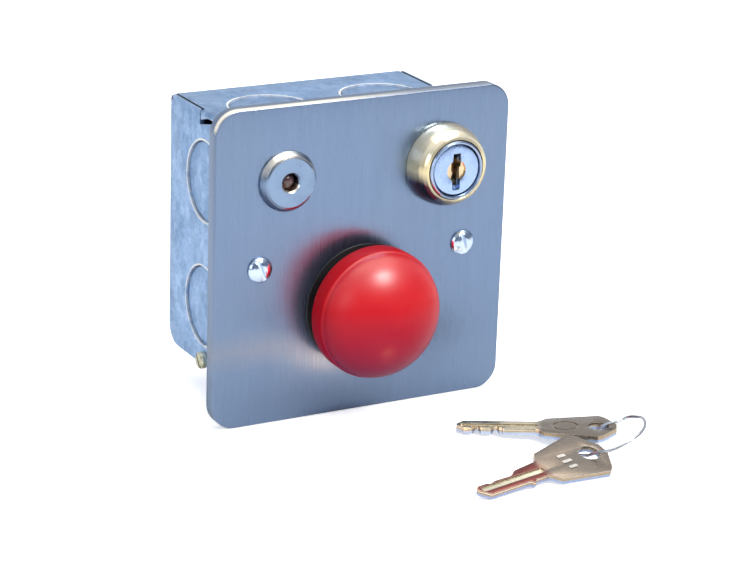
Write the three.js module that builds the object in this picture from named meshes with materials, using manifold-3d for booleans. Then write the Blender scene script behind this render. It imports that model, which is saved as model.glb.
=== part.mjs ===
// Key-operated push-button control station: a square steel faceplate on a galvanised knock-out box,
// with an indicator lamp, a key lock switch, a mushroom push button, and two keys on a wire ring.
// Millimetres, +Z up, +X right, front towards -Y. The origin is the centre of the box's back face.
import * as THREE from "three";
import { mergeVertices } from "three/addons/utils/BufferGeometryUtils.js";
import Module from "manifold-3d";

const wasm = await Module();
wasm.setup();

// ---------- driving dimensions ----------
const PLATE = 86; // faceplate width and height
const PLATE_R = 6.5; // its corner radius
const PLATE_Z = -1.5; // plate centre, below the box centre
const PLATE_T = 1.5; // plate sheet thickness
const FACE_Y = -45.3; // front face of the plate
const RIM_Y = -41.1; // back of the plate's folded rim
const SHEET_BACK_Y = FACE_Y + PLATE_T;
const FLOOR_Z = PLATE_Z - PLATE / 2; // the plane the plate's lower edge stands on
const SCREW_X = 30.15; // plate screws, either side of the centre

const BOX_HALF = 35; // half the box's width and height
const BOX_FRONT = -43.4; // front rim of the box
const WALL = 1.3; // box sheet thickness
const BODY_HALF = BOX_HALF - WALL - 0.3; // the body stops short of the side plates
const BEND_R = 5.5; // big bend at the bottom rear
const KNOCKOUT_R = 10.8;

// places on the plate, [x, z]
const LAMP = [-22.75, 21.6];
const LOCK = [23.05, 21.4];
const PUSH = [0, -14.6];

// name and sign of x for paired parts
const SIDES = [
  ["left", -1],
  ["right", 1],
];

// ---------- solids ----------
// Closed solid from a three.js geometry, wound so that its volume is positive.
function solid(geometry) {
  geometry.deleteAttribute("normal");
  geometry.deleteAttribute("uv");
  const merged = mergeVertices(geometry, 1e-4);
  const positions = merged.attributes.position;
  const index = merged.index.array;
  const triangles = [];
  const corners = [new THREE.Vector3(), new THREE.Vector3(), new THREE.Vector3()];
  let volume = 0;
  for (let i = 0; i < index.length; i += 3) {
    const [a, b, c] = index.subarray(i, i + 3);
    if (a === b || b === c || a === c) continue;
    triangles.push([a, b, c]);
    [a, b, c].forEach((vertex, j) => corners[j].fromBufferAttribute(positions, vertex));
    volume += corners[0].dot(corners[1].cross(corners[2]));
  }
  const wound = volume < 0 ? triangles.map(([a, b, c]) => [a, c, b]) : triangles;
  return new wasm.Manifold(
    new wasm.Mesh({
      numProp: 3,
      vertProperties: new Float32Array(positions.array),
      triVerts: new Uint32Array(wound.flat()),
    }),
  );
}

function geometryOf(body) {
  const mesh = body.getMesh();
  const geometry = new THREE.BufferGeometry();
  const vertices = new Float32Array(mesh.vertProperties);
  geometry.setAttribute("position", new THREE.BufferAttribute(vertices, 3));
  geometry.setIndex(new THREE.BufferAttribute(new Uint32Array(mesh.triVerts), 1));
  geometry.computeVertexNormals();
  return geometry;
}

const cut = (body, ...tools) => tools.flat().reduce((rest, tool) => rest.subtract(tool), body);
const join = (body, ...more) => more.flat().reduce((sum, part) => sum.add(part), body);

// Spans are [from, to] in either order.
const about = (middle, half) => [middle - half, middle + half];
const length = ([from, to]) => Math.abs(to - from);
const centre = ([from, to]) => (from + to) / 2;

const cuboid = (xs, ys, zs) =>
  solid(
    new THREE.BoxGeometry(length(xs), length(ys), length(zs)).translate(
      centre(xs),
      centre(ys),
      centre(zs),
    ),
  );

// Cylinders along one axis: place on the other two axes, radius, span along the axis.
const cylinder = (radius, span, segments) =>
  new THREE.CylinderGeometry(radius, radius, length(span), segments);
const cylinderX = ([y, z], radius, span, segments) =>
  solid(cylinder(radius, span, segments).rotateZ(-Math.PI / 2).translate(centre(span), y, z));
const cylinderY = ([x, z], radius, span, segments) =>
  solid(cylinder(radius, span, segments).translate(x, centre(span), z));
const cylinderZ = ([x, y], radius, span, segments) =>
  solid(cylinder(radius, span, segments).rotateX(Math.PI / 2).translate(x, y, centre(span)));

// Profile of [radius, height in front of the plate face], turned about an axis along Y.
const ahead = (height) => FACE_Y - height;
const turned = ([x, z], profile, segments = 32) =>
  solid(
    new THREE.LatheGeometry(
      profile.map(([radius, height]) => new THREE.Vector2(radius, ahead(height))),
      segments,
    ).translate(x, 0, z),
  );

// ---------- outlines ----------
// Points on an arc, angles in degrees.
const arc = ([u, v], radius, start, end, steps) =>
  Array.from({ length: steps + 1 }, (_, i) => {
    const angle = ((start + ((end - start) * i) / steps) * Math.PI) / 180;
    return [u + radius * Math.cos(angle), v + radius * Math.sin(angle)];
  });

const polygon = (middle, radius, sides) =>
  arc(middle, radius, 0, 360 - 360 / sides, sides - 1);
const hexagon = (middle, acrossFlats) => polygon(middle, acrossFlats / Math.sqrt(3), 6);

function roundSquare([u, v], size, radius) {
  const reach = size / 2 - radius;
  const corners = [[1, 1], [-1, 1], [-1, -1], [1, -1]];
  return corners.flatMap(([su, sv], i) =>
    arc([u + su * reach, v + sv * reach], radius, i * 90, (i + 1) * 90, 7),
  );
}

const shapeOf = (points) => new THREE.Shape(points.map(([u, v]) => new THREE.Vector2(u, v)));
const prism = (points, span) =>
  new THREE.ExtrudeGeometry(shapeOf(points), { depth: length(span), bevelEnabled: false });

// outline in (y, z)
const AXES_YZX = new THREE.Matrix4().makeBasis(
  new THREE.Vector3(0, 1, 0),
  new THREE.Vector3(0, 0, 1),
  new THREE.Vector3(1, 0, 0),
);
const prismX = (points, span) =>
  solid(prism(points, span).applyMatrix4(AXES_YZX).translate(Math.min(...span), 0, 0));
// outline in (x, z)
const prismY = (points, span) =>
  solid(prism(points, span).rotateX(Math.PI / 2).translate(0, Math.max(...span), 0));
// outline in (x, y)
const prismZ = (points, span) => solid(prism(points, span).translate(0, 0, Math.min(...span)));

// ---------- wires and springs ----------
class Helix extends THREE.Curve {
  constructor([x, z], radius, [from, to], turns) {
    super();
    Object.assign(this, { x, z, radius, from, to, turns });
  }

  // Share of the height reached at t; the pitch is flatter near both ends.
  static rise(t) {
    const END = 0.12; // share of the wire in each end
    const SLOPE = 0.35; // rise per t there
    const endRise = END * SLOPE;
    if (t < END) return t * SLOPE;
    if (t > 1 - END) return 1 - (1 - t) * SLOPE;
    return endRise + (t - END) * ((1 - 2 * endRise) / (1 - 2 * END));
  }

  getPoint(t, target = new THREE.Vector3()) {
    const angle = t * this.turns * 2 * Math.PI;
    return target.set(
      this.x + this.radius * Math.cos(angle),
      this.from + (this.to - this.from) * Helix.rise(t),
      this.z + this.radius * Math.sin(angle),
    );
  }
}

const through = (points) =>
  new THREE.CatmullRomCurve3(points.map((point) => new THREE.Vector3(...point)));

const wire = (curve, { radius, steps, sides = 6 }) =>
  solid(
    new THREE.ExtrudeGeometry(shapeOf(polygon([0, 0], radius, sides)), {
      steps,
      bevelEnabled: false,
      extrudePath: curve,
    }),
  );

// ---------- materials ----------
const standard = (settings) => new THREE.MeshStandardMaterial(settings);
const galvanised = standard({ color: 0x9fb4cc, roughness: 0.5, metalness: 0.9 });
const brushed = standard({ color: 0x8aa2bf, roughness: 0.38, metalness: 1 });
const zinc = standard({ color: 0xd8d6c4, roughness: 0.3, metalness: 1 });
const chrome = standard({ color: 0xe8e2d2, roughness: 0.12, metalness: 1 });
const nickel = standard({ color: 0xc9bda6, roughness: 0.25, metalness: 1 });
const brass = standard({ color: 0xc9a558, roughness: 0.3, metalness: 1 });
const springSteel = standard({ color: 0xb8bcc2, roughness: 0.25, metalness: 1 });
const red = standard({ color: 0xd23434, roughness: 0.35, metalness: 0 });
const black = standard({ color: 0x1d1e20, roughness: 0.5, metalness: 0 });
const grey = standard({ color: 0x7d8187, roughness: 0.5, metalness: 0 });
const rubber = standard({ color: 0x202124, roughness: 0.8, metalness: 0 });
const lens = standard({ color: 0x4a3a3a, roughness: 0.15, metalness: 0 });
const wireRed = standard({ color: 0xb02a24, roughness: 0.55, metalness: 0 });
const wireBlack = standard({ color: 0x202020, roughness: 0.55, metalness: 0 });
const wireBlue = standard({ color: 0x2b5aa8, roughness: 0.55, metalness: 0 });

const station = new THREE.Group();
// Adds a named mesh; a pose, if given, is applied to the geometry itself.
function put(name, body, material, pose) {
  const geometry = geometryOf(body);
  if (pose) geometry.applyMatrix4(pose);
  const mesh = new THREE.Mesh(geometry, material);
  mesh.name = name;
  station.add(mesh);
}

// ---------- box ----------
const BEND = [-BEND_R, -BOX_HALF + BEND_R]; // y, z of the bend's axis
const WALL_IN = BOX_HALF - WALL; // inner face of the walls
const TOP_CHAMFER = 1; // top rear edge
const KNOCKOUT_Y = -21.6; // knockouts in the top, bottom and sides
const SIDE_SCREW = [-22.8, -33.2]; // y, z
const EARTH = [20, -22]; // x, z of the earth screw
const EARTH_HOLE_R = 1.7;

// The two curved slots that pre-cut a round knockout, leaving two bridges to the sheet.
function knockout(middle, makePrism) {
  const BRIDGE = 8; // half angle of a bridge, degrees
  const HALF_SLOT = 0.25;
  return [90, 270].map((turn) => {
    const start = turn + BRIDGE;
    const end = turn + 180 - BRIDGE;
    return makePrism([
      ...arc(middle, KNOCKOUT_R + HALF_SLOT, start, end, 9),
      ...arc(middle, KNOCKOUT_R - HALF_SLOT, end, start, 9),
    ]);
  });
}

// Bent sheet that makes the top, back and bottom.
function boxBody() {
  const section = [
    [BOX_FRONT, BOX_HALF],
    [-TOP_CHAMFER, BOX_HALF],
    [0, BOX_HALF - TOP_CHAMFER],
    ...arc(BEND, BEND_R, 0, -90, 6),
    [BOX_FRONT, -BOX_HALF],
    [BOX_FRONT, -WALL_IN],
    ...arc(BEND, BEND_R - WALL, -90, 0, 6),
    [-WALL, WALL_IN],
    [BOX_FRONT, WALL_IN],
  ];
  // front part of the top runs over the side plate and folds down as a hook
  const hook = [
    [-18.7, BOX_HALF],
    [-18.7, 32.3],
    [-23.4, WALL_IN],
    [BOX_FRONT, WALL_IN],
    [BOX_FRONT, BOX_HALF],
  ];
  const LIP_T = 1.4; // lip inside the bottom that takes the side screw
  let body = prismX(section, [-BODY_HALF, BODY_HALF]);
  for (const [, s] of SIDES) {
    const lipXs = [s * BODY_HALF, s * (BODY_HALF - LIP_T)];
    const holeXs = [s * (BODY_HALF + 2), s * (BODY_HALF - LIP_T - 2)];
    body = join(
      body,
      prismX(hook, [s * (BODY_HALF - 0.2), s * BOX_HALF]),
      cuboid(lipXs, [-27.5, -18.5], [-BOX_HALF + 0.2, -29.5]),
    );
    body = cut(body, cylinderX(SIDE_SCREW, 1.25, holeXs, 12));
  }
  const top = [BOX_HALF - 2, BOX_HALF + 1];
  const bottom = [-BOX_HALF - 1, -BOX_HALF + 2];
  for (const x of [-16.4, 17.0])
    for (const span of [top, bottom])
      body = cut(body, knockout([x, KNOCKOUT_Y], (slot) => prismZ(slot, span)));
  return cut(
    body,
    knockout([0, -18], (slot) => prismY(slot, [-2, 1])),
    cylinderY([-25, 12], 2.6, [-3, 1], 16),
    cylinderY([25, 12], 2.6, [-3, 1], 16),
    cylinderY(EARTH, EARTH_HOLE_R, [-3, 1], 12),
  );
}
put("box_body", boxBody(), galvanised);

function sidePlate(s) {
  const outline = [
    [0, BOX_HALF],
    [-18.3, BOX_HALF],
    [-18.3, 30.9],
    [-26.4, 32.9],
    [BOX_FRONT, 32.9],
    [BOX_FRONT, -BOX_HALF],
    ...arc(BEND, BEND_R, -90, 0, 6),
  ];
  const across = [s * (BOX_HALF + 1), s * (WALL_IN - 1)]; // through the sheet
  return cut(
    prismX(outline, [s * BOX_HALF, s * WALL_IN]),
    [16.2, -18.3].flatMap((z) => knockout([KNOCKOUT_Y, z], (slot) => prismX(slot, across))),
    // open notch over the side screw
    cuboid(across, [-24.3, -21.3], [-BOX_HALF - 1, SIDE_SCREW[1]]),
    cylinderX(SIDE_SCREW, 1.5, across, 12),
  );
}

// Cheese-head screw through the side plate into the body's lip.
function sideScrew(s) {
  const underHead = s * (BOX_HALF + 0.05);
  const headTop = s * (BOX_HALF + 1.9);
  const slot = new THREE.BoxGeometry(1.2, 6, 0.8).rotateX(s * 0.95);
  return cut(
    join(
      cylinderX(SIDE_SCREW, 2.3, [underHead, headTop], 20),
      cylinderX(SIDE_SCREW, 1.1, [s * (BOX_HALF - 4.2), underHead], 12),
    ),
    solid(slot.translate(headTop, ...SIDE_SCREW)),
  );
}

// Lug for the plate screw: a foot on the side wall and an ear behind the plate.
function lug(s) {
  const FRONT = -42.9;
  const foot = s * (WALL_IN - 0.05);
  const zs = about(PLATE_Z, 5);
  return cut(
    join(
      cuboid([foot, s * (WALL_IN - 1.45)], [FRONT, -33], zs),
      cuboid([foot, s * 26.2], [FRONT, -41.3], zs),
    ),
    cylinderY([s * SCREW_X, PLATE_Z], 1.75, [-44, -40], 16),
  );
}

for (const [side, s] of SIDES) {
  put(`${side}_side_plate`, sidePlate(s), galvanised);
  put(`${side}_side_screw`, sideScrew(s), zinc);
  put(`${side}_lug`, lug(s), galvanised);
}

// ---------- faceplate ----------
const LAMP_HOLE_R = 5.2;
const PUSH_HOLE_R = 11.2;

function faceplate() {
  const middle = [0, PLATE_Z];
  const inner = roundSquare(middle, PLATE - 2 * PLATE_T, PLATE_R - PLATE_T);
  // place, radius, segments
  const holes = [
    [LAMP, LAMP_HOLE_R, 24],
    [LOCK, 8.1, 32],
    [PUSH, PUSH_HOLE_R, 32],
    [[-SCREW_X, PLATE_Z], 2.1, 16],
    [[SCREW_X, PLATE_Z], 2.1, 16],
  ];
  return cut(
    prismY(roundSquare(middle, PLATE, PLATE_R), [FACE_Y, RIM_Y]),
    prismY(inner, [SHEET_BACK_Y, RIM_Y + 1]),
    holes.map(([place, radius, segments]) =>
      cylinderY(place, radius, [FACE_Y - 1, SHEET_BACK_Y + 1], segments),
    ),
  );
}
put("faceplate", faceplate(), brushed);

// Domed screw; slotTurn is its slot's angle about Y, radians.
function plateScrew(x, slotTurn) {
  const profile = [
    [0, 1.75], [1.6, 1.65], [2.8, 1.25], [3.35, 0.75], [3.5, 0.05],
    [1.6, 0.05], [1.6, -9.5], [0, -9.5],
  ];
  const slot = new THREE.BoxGeometry(8, 1.6, 0.9).rotateY(slotTurn);
  return cut(turned([x, PLATE_Z], profile, 24), solid(slot.translate(x, ahead(1.7), PLATE_Z)));
}
put("plate_screw_left", plateScrew(-SCREW_X, 1.2), zinc);
put("plate_screw_right", plateScrew(SCREW_X, 1.3), zinc);

// ---------- indicator lamp ----------
const BEZEL_PROFILE = [
  [2.3, -16], [2.3, 1.9], [2.75, 2.4], [6.55, 2.4], [7.2, 2.1],
  [8.1, 0.6], [8.1, 0.05], [5.0, 0.05], [5.0, -16], [2.3, -16],
];
put("lamp_bezel", turned(LAMP, BEZEL_PROFILE, 28), chrome);

const LENS_PROFILE = [
  [0, 1.3], [0.9, 1.15], [1.6, 0.7], [2.05, -0.2], [2.15, -1.2], [2.15, -9], [0, -9],
];
put("lamp_lens", turned(LAMP, LENS_PROFILE, 24), lens);

const lampWasher = cut(
  cylinderY(LAMP, 7.2, [SHEET_BACK_Y + 0.05, SHEET_BACK_Y + 0.85], 24),
  cylinderY(LAMP, 5.3, [SHEET_BACK_Y - 1, SHEET_BACK_Y + 2], 24),
);
put("lamp_washer", lampWasher, zinc);

const lampNut = cut(
  prismY(hexagon(LAMP, 13), [SHEET_BACK_Y + 0.95, SHEET_BACK_Y + 3.9]),
  cylinderY(LAMP, LAMP_HOLE_R, [SHEET_BACK_Y - 1, SHEET_BACK_Y + 6], 24),
);
put("lamp_nut", lampNut, zinc);

// Lead through offsets [x, y, z] from a point just behind the lens.
function lampLead(offsets) {
  const [x, z] = LAMP;
  const y = FACE_Y + 9.1;
  const points = offsets.map(([dx, dy, dz]) => [x + dx, y + dy, z + dz]);
  return wire(through(points), { radius: 0.7, steps: 22 });
}
const RED_LEAD = [
  [-1.2, 0, 0], [-1.3, 6, 0], [-1.8, 12, -1], [-1, 20, -6], [3, 27, -14], [7, 30, -22],
];
const BLACK_LEAD = [
  [1.2, 0, 0], [1.3, 6, 0], [1.8, 12, -1], [3, 20, -5], [8, 27, -12], [12, 30, -20],
];
put("lamp_lead_red", lampLead(RED_LEAD), wireRed);
put("lamp_lead_black", lampLead(BLACK_LEAD), wireBlack);

// ---------- lock ----------
const [lockX, lockZ] = LOCK;
const PLUG_R = 6.92;
const WAFER_LIFTS = [0.15, -0.25, 0.3, -0.1, 0.2]; // z offset of each window, front to back
const WAFER_PITCH = 3.4;
const waferY = (i) => ahead(3.2) + i * WAFER_PITCH;

const COLLAR_PROFILE = [
  [8.0, 0.05], [8.0, 7.2], [8.2, 7.5], [8.8, 7.3], [9.5, 6.6], [10.15, 5.4],
  [10.7, 3.8], [11.0, 2.2], [11.1, 1.0], [11.0, 0.05], [8.0, 0.05],
];
put("lock_collar", turned(LOCK, COLLAR_PROFILE, 36), chrome);

// barrel with a shoulder behind the plate, bored for the plug
const BARREL_PROFILE = [
  [7.0, 7.5], [7.2, 7.9], [7.55, 7.9], [7.85, 7.6], [7.85, -1.6], [10.3, -1.6],
  [10.3, -4.2], [9.2, -4.2], [9.2, -21.5], [7.0, -21.5], [7.0, 7.5],
];
put("lock_body", turned(LOCK, BARREL_PROFILE), chrome);

function lockPlug() {
  const profile = [
    [0, 7.6], [6.5, 7.6], [PLUG_R, 7.3], [PLUG_R, -20.6], [4.0, -20.6], [4.0, -21.4], [0, -21.4],
  ];
  const keywayXs = about(lockX, 1.15);
  return cut(
    join(
      turned(LOCK, profile),
      // square drive at the rear
      cuboid(about(lockX, 2.2), [FACE_Y + 21, FACE_Y + 25.3], about(lockZ, 2.2)),
    ),
    // round recess and slot in the face, then the keyway
    cylinderY([lockX, lockZ - 0.2], 2.7, [ahead(8.5), ahead(6.7)], 28),
    cuboid(keywayXs, [ahead(8.5), ahead(6)], [lockZ - 5.2, lockZ + 3.6]),
    cuboid(keywayXs, [ahead(6.1), ahead(-17)], about(lockZ, 4.3)),
    WAFER_LIFTS.map((_, i) =>
      cuboid(about(lockX, 2.85), about(waferY(i), 0.7), about(lockZ, 8)),
    ),
  );
}
put("lock_plug", lockPlug(), nickel);

// Flat plate with a window for the key.
const wafer = (y, lift) =>
  cut(
    cuboid(about(lockX, 2.6), about(y, 0.45), about(lockZ, 5.7)),
    cuboid(about(lockX, 1.5), about(y, 1), about(lockZ + lift, 3.6)),
  );
WAFER_LIFTS.forEach((lift, i) => put(`wafer_${i + 1}`, wafer(waferY(i), lift), brass));

// ---------- switch behind the lock ----------
const SWITCH_FRONT = FACE_Y + 21.8;
const SWITCH_BACK = FACE_Y + 33.5;
const TAB_X = 6.5; // terminals, either side of the lock axis
const switchScrewAt = (s) => [lockX + s * 8, lockZ - s * 8];

function switchHousing() {
  const through = [SWITCH_FRONT - 1, SWITCH_BACK + 1];
  const tabYs = [SWITCH_BACK - 4, SWITCH_BACK + 1];
  return cut(
    cuboid(about(lockX, 10), [SWITCH_FRONT, SWITCH_BACK], about(lockZ, 10)),
    cylinderY(LOCK, 8.2, [SWITCH_FRONT - 1, SWITCH_BACK - 2.2], 32),
    SIDES.map(([, s]) => cuboid(about(lockX + s * TAB_X, 0.6), tabYs, about(lockZ, 2.6))),
    SIDES.map(([, s]) => cylinderY(switchScrewAt(s), 1.2, through, 12)),
  );
}
put("switch_housing", switchHousing(), black);

const switchRotor = cut(
  cylinderY(LOCK, 7.6, [SWITCH_FRONT + 0.5, SWITCH_FRONT + 6.2], 32),
  cuboid(about(lockX, 2.4), [SWITCH_FRONT - 1, SWITCH_FRONT + 3.8], about(lockZ, 2.4)),
);
put("switch_rotor", switchRotor, grey);

const switchWiper = join(
  cuboid(about(lockX, 7.2), [SWITCH_FRONT + 6.3, SWITCH_FRONT + 6.8], about(lockZ, 1.5)),
  SIDES.map(([, s]) =>
    cylinderY([lockX + s * 6.2, lockZ], 1.1, [SWITCH_FRONT + 6.7, SWITCH_FRONT + 7.4], 14),
  ),
);
put("switch_wiper", switchWiper, brass);

function switchTerminal(s) {
  const x = lockX + s * TAB_X;
  const zs = about(lockZ, 2.3);
  return cut(
    join(
      cuboid(about(x, 0.4), [SWITCH_FRONT + 7.9, SWITCH_BACK + 5.6], zs),
      cuboid(about(x, 1.3), [SWITCH_FRONT + 7.6, SWITCH_FRONT + 8.1], zs),
    ),
    cylinderX([SWITCH_BACK + 3.2, lockZ], 0.8, about(x, 2), 12),
  );
}

function switchScrew(s) {
  const place = switchScrewAt(s);
  const [x, z] = place;
  return cut(
    join(
      cylinderY(place, 2.0, [SWITCH_BACK + 0.05, SWITCH_BACK + 1.5], 16),
      cylinderY(place, 1.05, [SWITCH_FRONT + 1, SWITCH_BACK + 0.1], 12),
    ),
    cuboid(about(x, 3), [SWITCH_BACK + 0.9, SWITCH_BACK + 2], about(z, 0.3)),
  );
}

for (const [side, s] of SIDES) {
  put(`switch_terminal_${side}`, switchTerminal(s), brass);
  put(`switch_screw_${side}`, switchScrew(s), zinc);
}

// ---------- mushroom push button ----------
const [pushX, pushZ] = PUSH;
const HEAD_R = 17.6; // mushroom head radius

function buttonHead() {
  const DOME_R = 17.3;
  const DOME_BASE = 11; // height of the dome's edge in front of the plate
  const DOME_RISE = 10;
  const BULGE = 1.15; // exponent; 1 would give an ellipse
  const STEPS = 9;
  const dome = Array.from({ length: STEPS + 1 }, (_, i) => {
    const angle = (i / STEPS) * (Math.PI / 2);
    return [
      DOME_R * Math.pow(Math.sin(angle), BULGE),
      DOME_BASE + DOME_RISE * Math.pow(Math.cos(angle), BULGE),
    ];
  });
  const skirt = [
    [17.35, 10.9], [HEAD_R, 10.5], [HEAD_R, 5.6], [17.2, 5.1], [13.6, 5.1], [13.6, 9.5], [0, 9.5],
  ];
  return turned(PUSH, [...dome, ...skirt], 36);
}
put("button_head", buttonHead(), red);

// flange on the plate, neck inside the head, barrel behind the plate
const BUSHING_PROFILE = [
  [4.15, -14.3], [4.15, -4.4], [6.4, -4.4], [6.4, 4.6], [11.0, 4.6], [11.4, 4.2],
  [11.4, 0.75], [16.4, 0.6], [16.6, 0.35], [10.9, 0.35], [10.9, -14.3], [4.15, -14.3],
];
put("button_bushing", turned(PUSH, BUSHING_PROFILE), black);

const buttonGasket = cut(
  cylinderY(PUSH, 15.9, [ahead(0.3), ahead(0.03)], 30),
  cylinderY(PUSH, PUSH_HOLE_R, about(FACE_Y, 1), 30),
);
put("button_gasket", buttonGasket, rubber);

const buttonNut = cut(
  prismY(hexagon(PUSH, 27), [SHEET_BACK_Y + 0.05, SHEET_BACK_Y + 3.6]),
  cylinderY(PUSH, 11.1, [SHEET_BACK_Y - 1, SHEET_BACK_Y + 6], 30),
);
put("button_nut", buttonNut, grey);

const buttonStem = join(
  cylinderY(PUSH, 3.95, [FACE_Y - 9.4, FACE_Y + 16.8], 32),
  cylinderY(PUSH, 2.4, [FACE_Y + 16.7, FACE_Y + 20.2], 20),
);
put("button_stem", buttonStem, grey);

const returnCoil = new Helix(PUSH, 5.25, [FACE_Y - 8.75, FACE_Y + 3.7], 5.5);
put("return_spring", wire(returnCoil, { radius: 0.5, steps: 60, sides: 5 }), springSteel);

// ---------- contact block behind the bushing ----------
const BLOCK_FRONT = FACE_Y + 14.6;
const BLOCK_BACK = FACE_Y + 37.5;
const CONTACT_X = 8; // contact buttons, either side of the push axis
const TERMINAL = [BLOCK_FRONT + 6.3, pushZ]; // y, z of the terminal screws
const pushSpan = (s, from, to) => [pushX + s * from, pushX + s * to];
const blockSpan = (from, to) => [BLOCK_FRONT + from, BLOCK_FRONT + to];
const contactButton = (s, ys) => cylinderY([pushX + s * CONTACT_X, pushZ], 1.3, ys, 14);

const contactBlock = cut(
  cuboid(about(pushX, 14), [BLOCK_FRONT, BLOCK_BACK], about(pushZ, 14.6)),
  cylinderY(PUSH, 4.7, blockSpan(-1, 4), 28),
  cuboid(about(pushX, 11), [BLOCK_FRONT + 2.4, BLOCK_BACK - 2.2], about(pushZ, 5)),
  SIDES.map(([, s]) => cuboid(pushSpan(s, 10, 15), blockSpan(9.4, 11.2), about(pushZ, 4))),
  SIDES.map(([, s]) => cylinderX(TERMINAL, 1.45, pushSpan(s, 11.5, 15), 12)),
);
put("contact_block", contactBlock, black);

const contactPlunger = cut(
  join(
    cuboid(about(pushX, 4.2), blockSpan(3.4, 12), about(pushZ, 4.2)),
    cylinderY(PUSH, 2.0, blockSpan(11.9, 16), 16),
  ),
  cylinderY(PUSH, 2.5, blockSpan(3, 6.4), 20),
);
put("contact_plunger", contactPlunger, red);

const contactBridge = cut(
  join(
    cuboid(about(pushX, 9.6), blockSpan(12.1, 12.8), about(pushZ, 2.6)),
    SIDES.map(([, s]) => contactButton(s, blockSpan(11.6, 12.2))),
  ),
  cylinderY(PUSH, 2.1, blockSpan(11, 14), 16),
);
put("contact_bridge", contactBridge, brass);

const contactCoil = new Helix(PUSH, 3.0, [BLOCK_FRONT + 13.3, BLOCK_BACK - 2.7], 4.5);
put("contact_spring", wire(contactCoil, { radius: 0.32, steps: 40, sides: 5 }), springSteel);

// L-shaped strip: one leg into the block, one down its side under the terminal screw.
const fixedContact = (s) =>
  cut(
    join(
      cuboid(pushSpan(s, 5.6, 14.95), blockSpan(9.9, 10.7), about(pushZ, 3)),
      cuboid(pushSpan(s, 14.15, 14.95), blockSpan(3.2, 10.7), about(pushZ, 3)),
      contactButton(s, blockSpan(10.6, 11.3)),
    ),
    cylinderX(TERMINAL, 1.6, pushSpan(s, 13, 16), 14),
  );

const terminalScrew = (s) =>
  cut(
    join(
      cylinderX(TERMINAL, 2.7, pushSpan(s, 15, 16.6), 18),
      cylinderX(TERMINAL, 1.3, pushSpan(s, 12, 15.1), 12),
    ),
    cuboid(pushSpan(s, 16, 17), about(TERMINAL[0], 0.35), about(pushZ, 3.5)),
  );

for (const [side, s] of SIDES) {
  put(`fixed_contact_${side}`, fixedContact(s), brass);
  put(`terminal_screw_${side}`, terminalScrew(s), zinc);
}

// ---------- earth terminal ----------
const [earthX, earthZ] = EARTH;
const EARTH_BORE = [-5.8, earthZ]; // y, z of the cross hole

const earthTerminal = cut(
  cuboid(about(earthX, 4.5), [-8.4, -1.35], about(earthZ, 4)),
  cylinderY(EARTH, EARTH_HOLE_R, [-9, -1], 14),
  cylinderX(EARTH_BORE, 1.5, about(earthX, 6), 14),
);
put("earth_terminal", earthTerminal, brass);

const earthScrew = cut(
  join(
    cylinderY(EARTH, 3.0, [-10.2, -8.45], 20),
    cylinderY(EARTH, 1.5, [-8.6, -0.3], 14),
  ),
  cuboid(about(earthX, 4), [-10.4, -9.5], about(earthZ, 0.4)),
  cylinderX(EARTH_BORE, 1.4, about(earthX, 2), 14),
);
put("earth_screw", earthScrew, zinc);

// ---------- link wire ----------
// from the switch's left terminal to the block's right terminal screw, [x, y, z]
const LINK_PATH = [
  [lockX - 8.6, FACE_Y + 36.8, lockZ],
  [lockX - 12, FACE_Y + 38, lockZ - 3],
  [lockX - 13, FACE_Y + 38, lockZ - 11],
  [lockX - 8, FACE_Y + 36, lockZ - 16],
  [lockX - 3, FACE_Y + 31, lockZ - 22],
  [19.4, FACE_Y + 25, pushZ + 8],
  [18.6, FACE_Y + 21.4, pushZ + 3.6],
];
put("link_wire", wire(through(LINK_PATH), { radius: 0.8, steps: 26 }), wireBlue);

// ---------- keys ----------
// Modelled flat with the tip at x = 0 and the bow at +x, then posed.
const KEY_L = 42.1; // whole length
const BLADE_L = 21.8; // up to the bow
const BLADE_END = BLADE_L - 0.6; // where the blade's edges stop
const BLADE_HALF = 3.0; // half width of the blade
const KEY_HOLE_X = 37.2; // tip to the hole's centre
const KEY_T = 1.8; // thickness

// The blade's edges differ from key to key: upper at +y from the tip, lower at -y back to it.
function key({ upper, lower }) {
  const bowHalf = [
    [BLADE_L + 0.6, 4.2],
    [BLADE_L + 1.6, 5.8],
    [KEY_HOLE_X - 0.4, 8.6],
    [KEY_HOLE_X + 0.9, 8.0],
    [KEY_L, 2.0],
  ];
  const bow = [...bowHalf, ...bowHalf.map(([x, y]) => [x, -y]).reverse()];
  const grooveXs = [1.2, BLADE_END];
  return cut(
    prismZ([...upper, ...bow, ...lower], [0, KEY_T]),
    cylinderZ([KEY_HOLE_X, 0], 2.9, [-1, KEY_T + 1], 24),
    // groove along each face of the blade
    cuboid(grooveXs, [-1.1, 0.8], [KEY_T - 0.5, KEY_T + 1]),
    cuboid(grooveXs, [-1.7, -0.4], [-1, 0.4]),
  );
}

// Lean about the key's long axis, pitch, then heading on the floor, all in degrees.
function keyPose({ tip, heading, pitch, lean }) {
  const radians = THREE.MathUtils.degToRad;
  return new THREE.Matrix4()
    .makeTranslation(...tip)
    .multiply(new THREE.Matrix4().makeRotationZ(radians(heading)))
    .multiply(new THREE.Matrix4().makeRotationY(radians(-pitch)))
    .multiply(new THREE.Matrix4().makeRotationX(radians(lean)));
}

const KEY_A = {
  upper: [[0, 0.3], [1.6, BLADE_HALF], [BLADE_END, BLADE_HALF]],
  lower: [
    [BLADE_END, -BLADE_HALF], [12.4, -BLADE_HALF], [11.6, -1.5], [10.0, -1.3],
    [9.2, -2.4], [7.0, -2.4], [6.2, -1.3], [4.8, -1.3], [4.0, -2.4], [2.0, -2.4], [0, -0.4],
  ],
};
const POSE_A = { tip: [15.7, -70.86, FLOOR_Z + 0.3], heading: -33.54, pitch: 3.1, lean: -3.44 };
put("key_a", key(KEY_A), nickel, keyPose(POSE_A));

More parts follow.
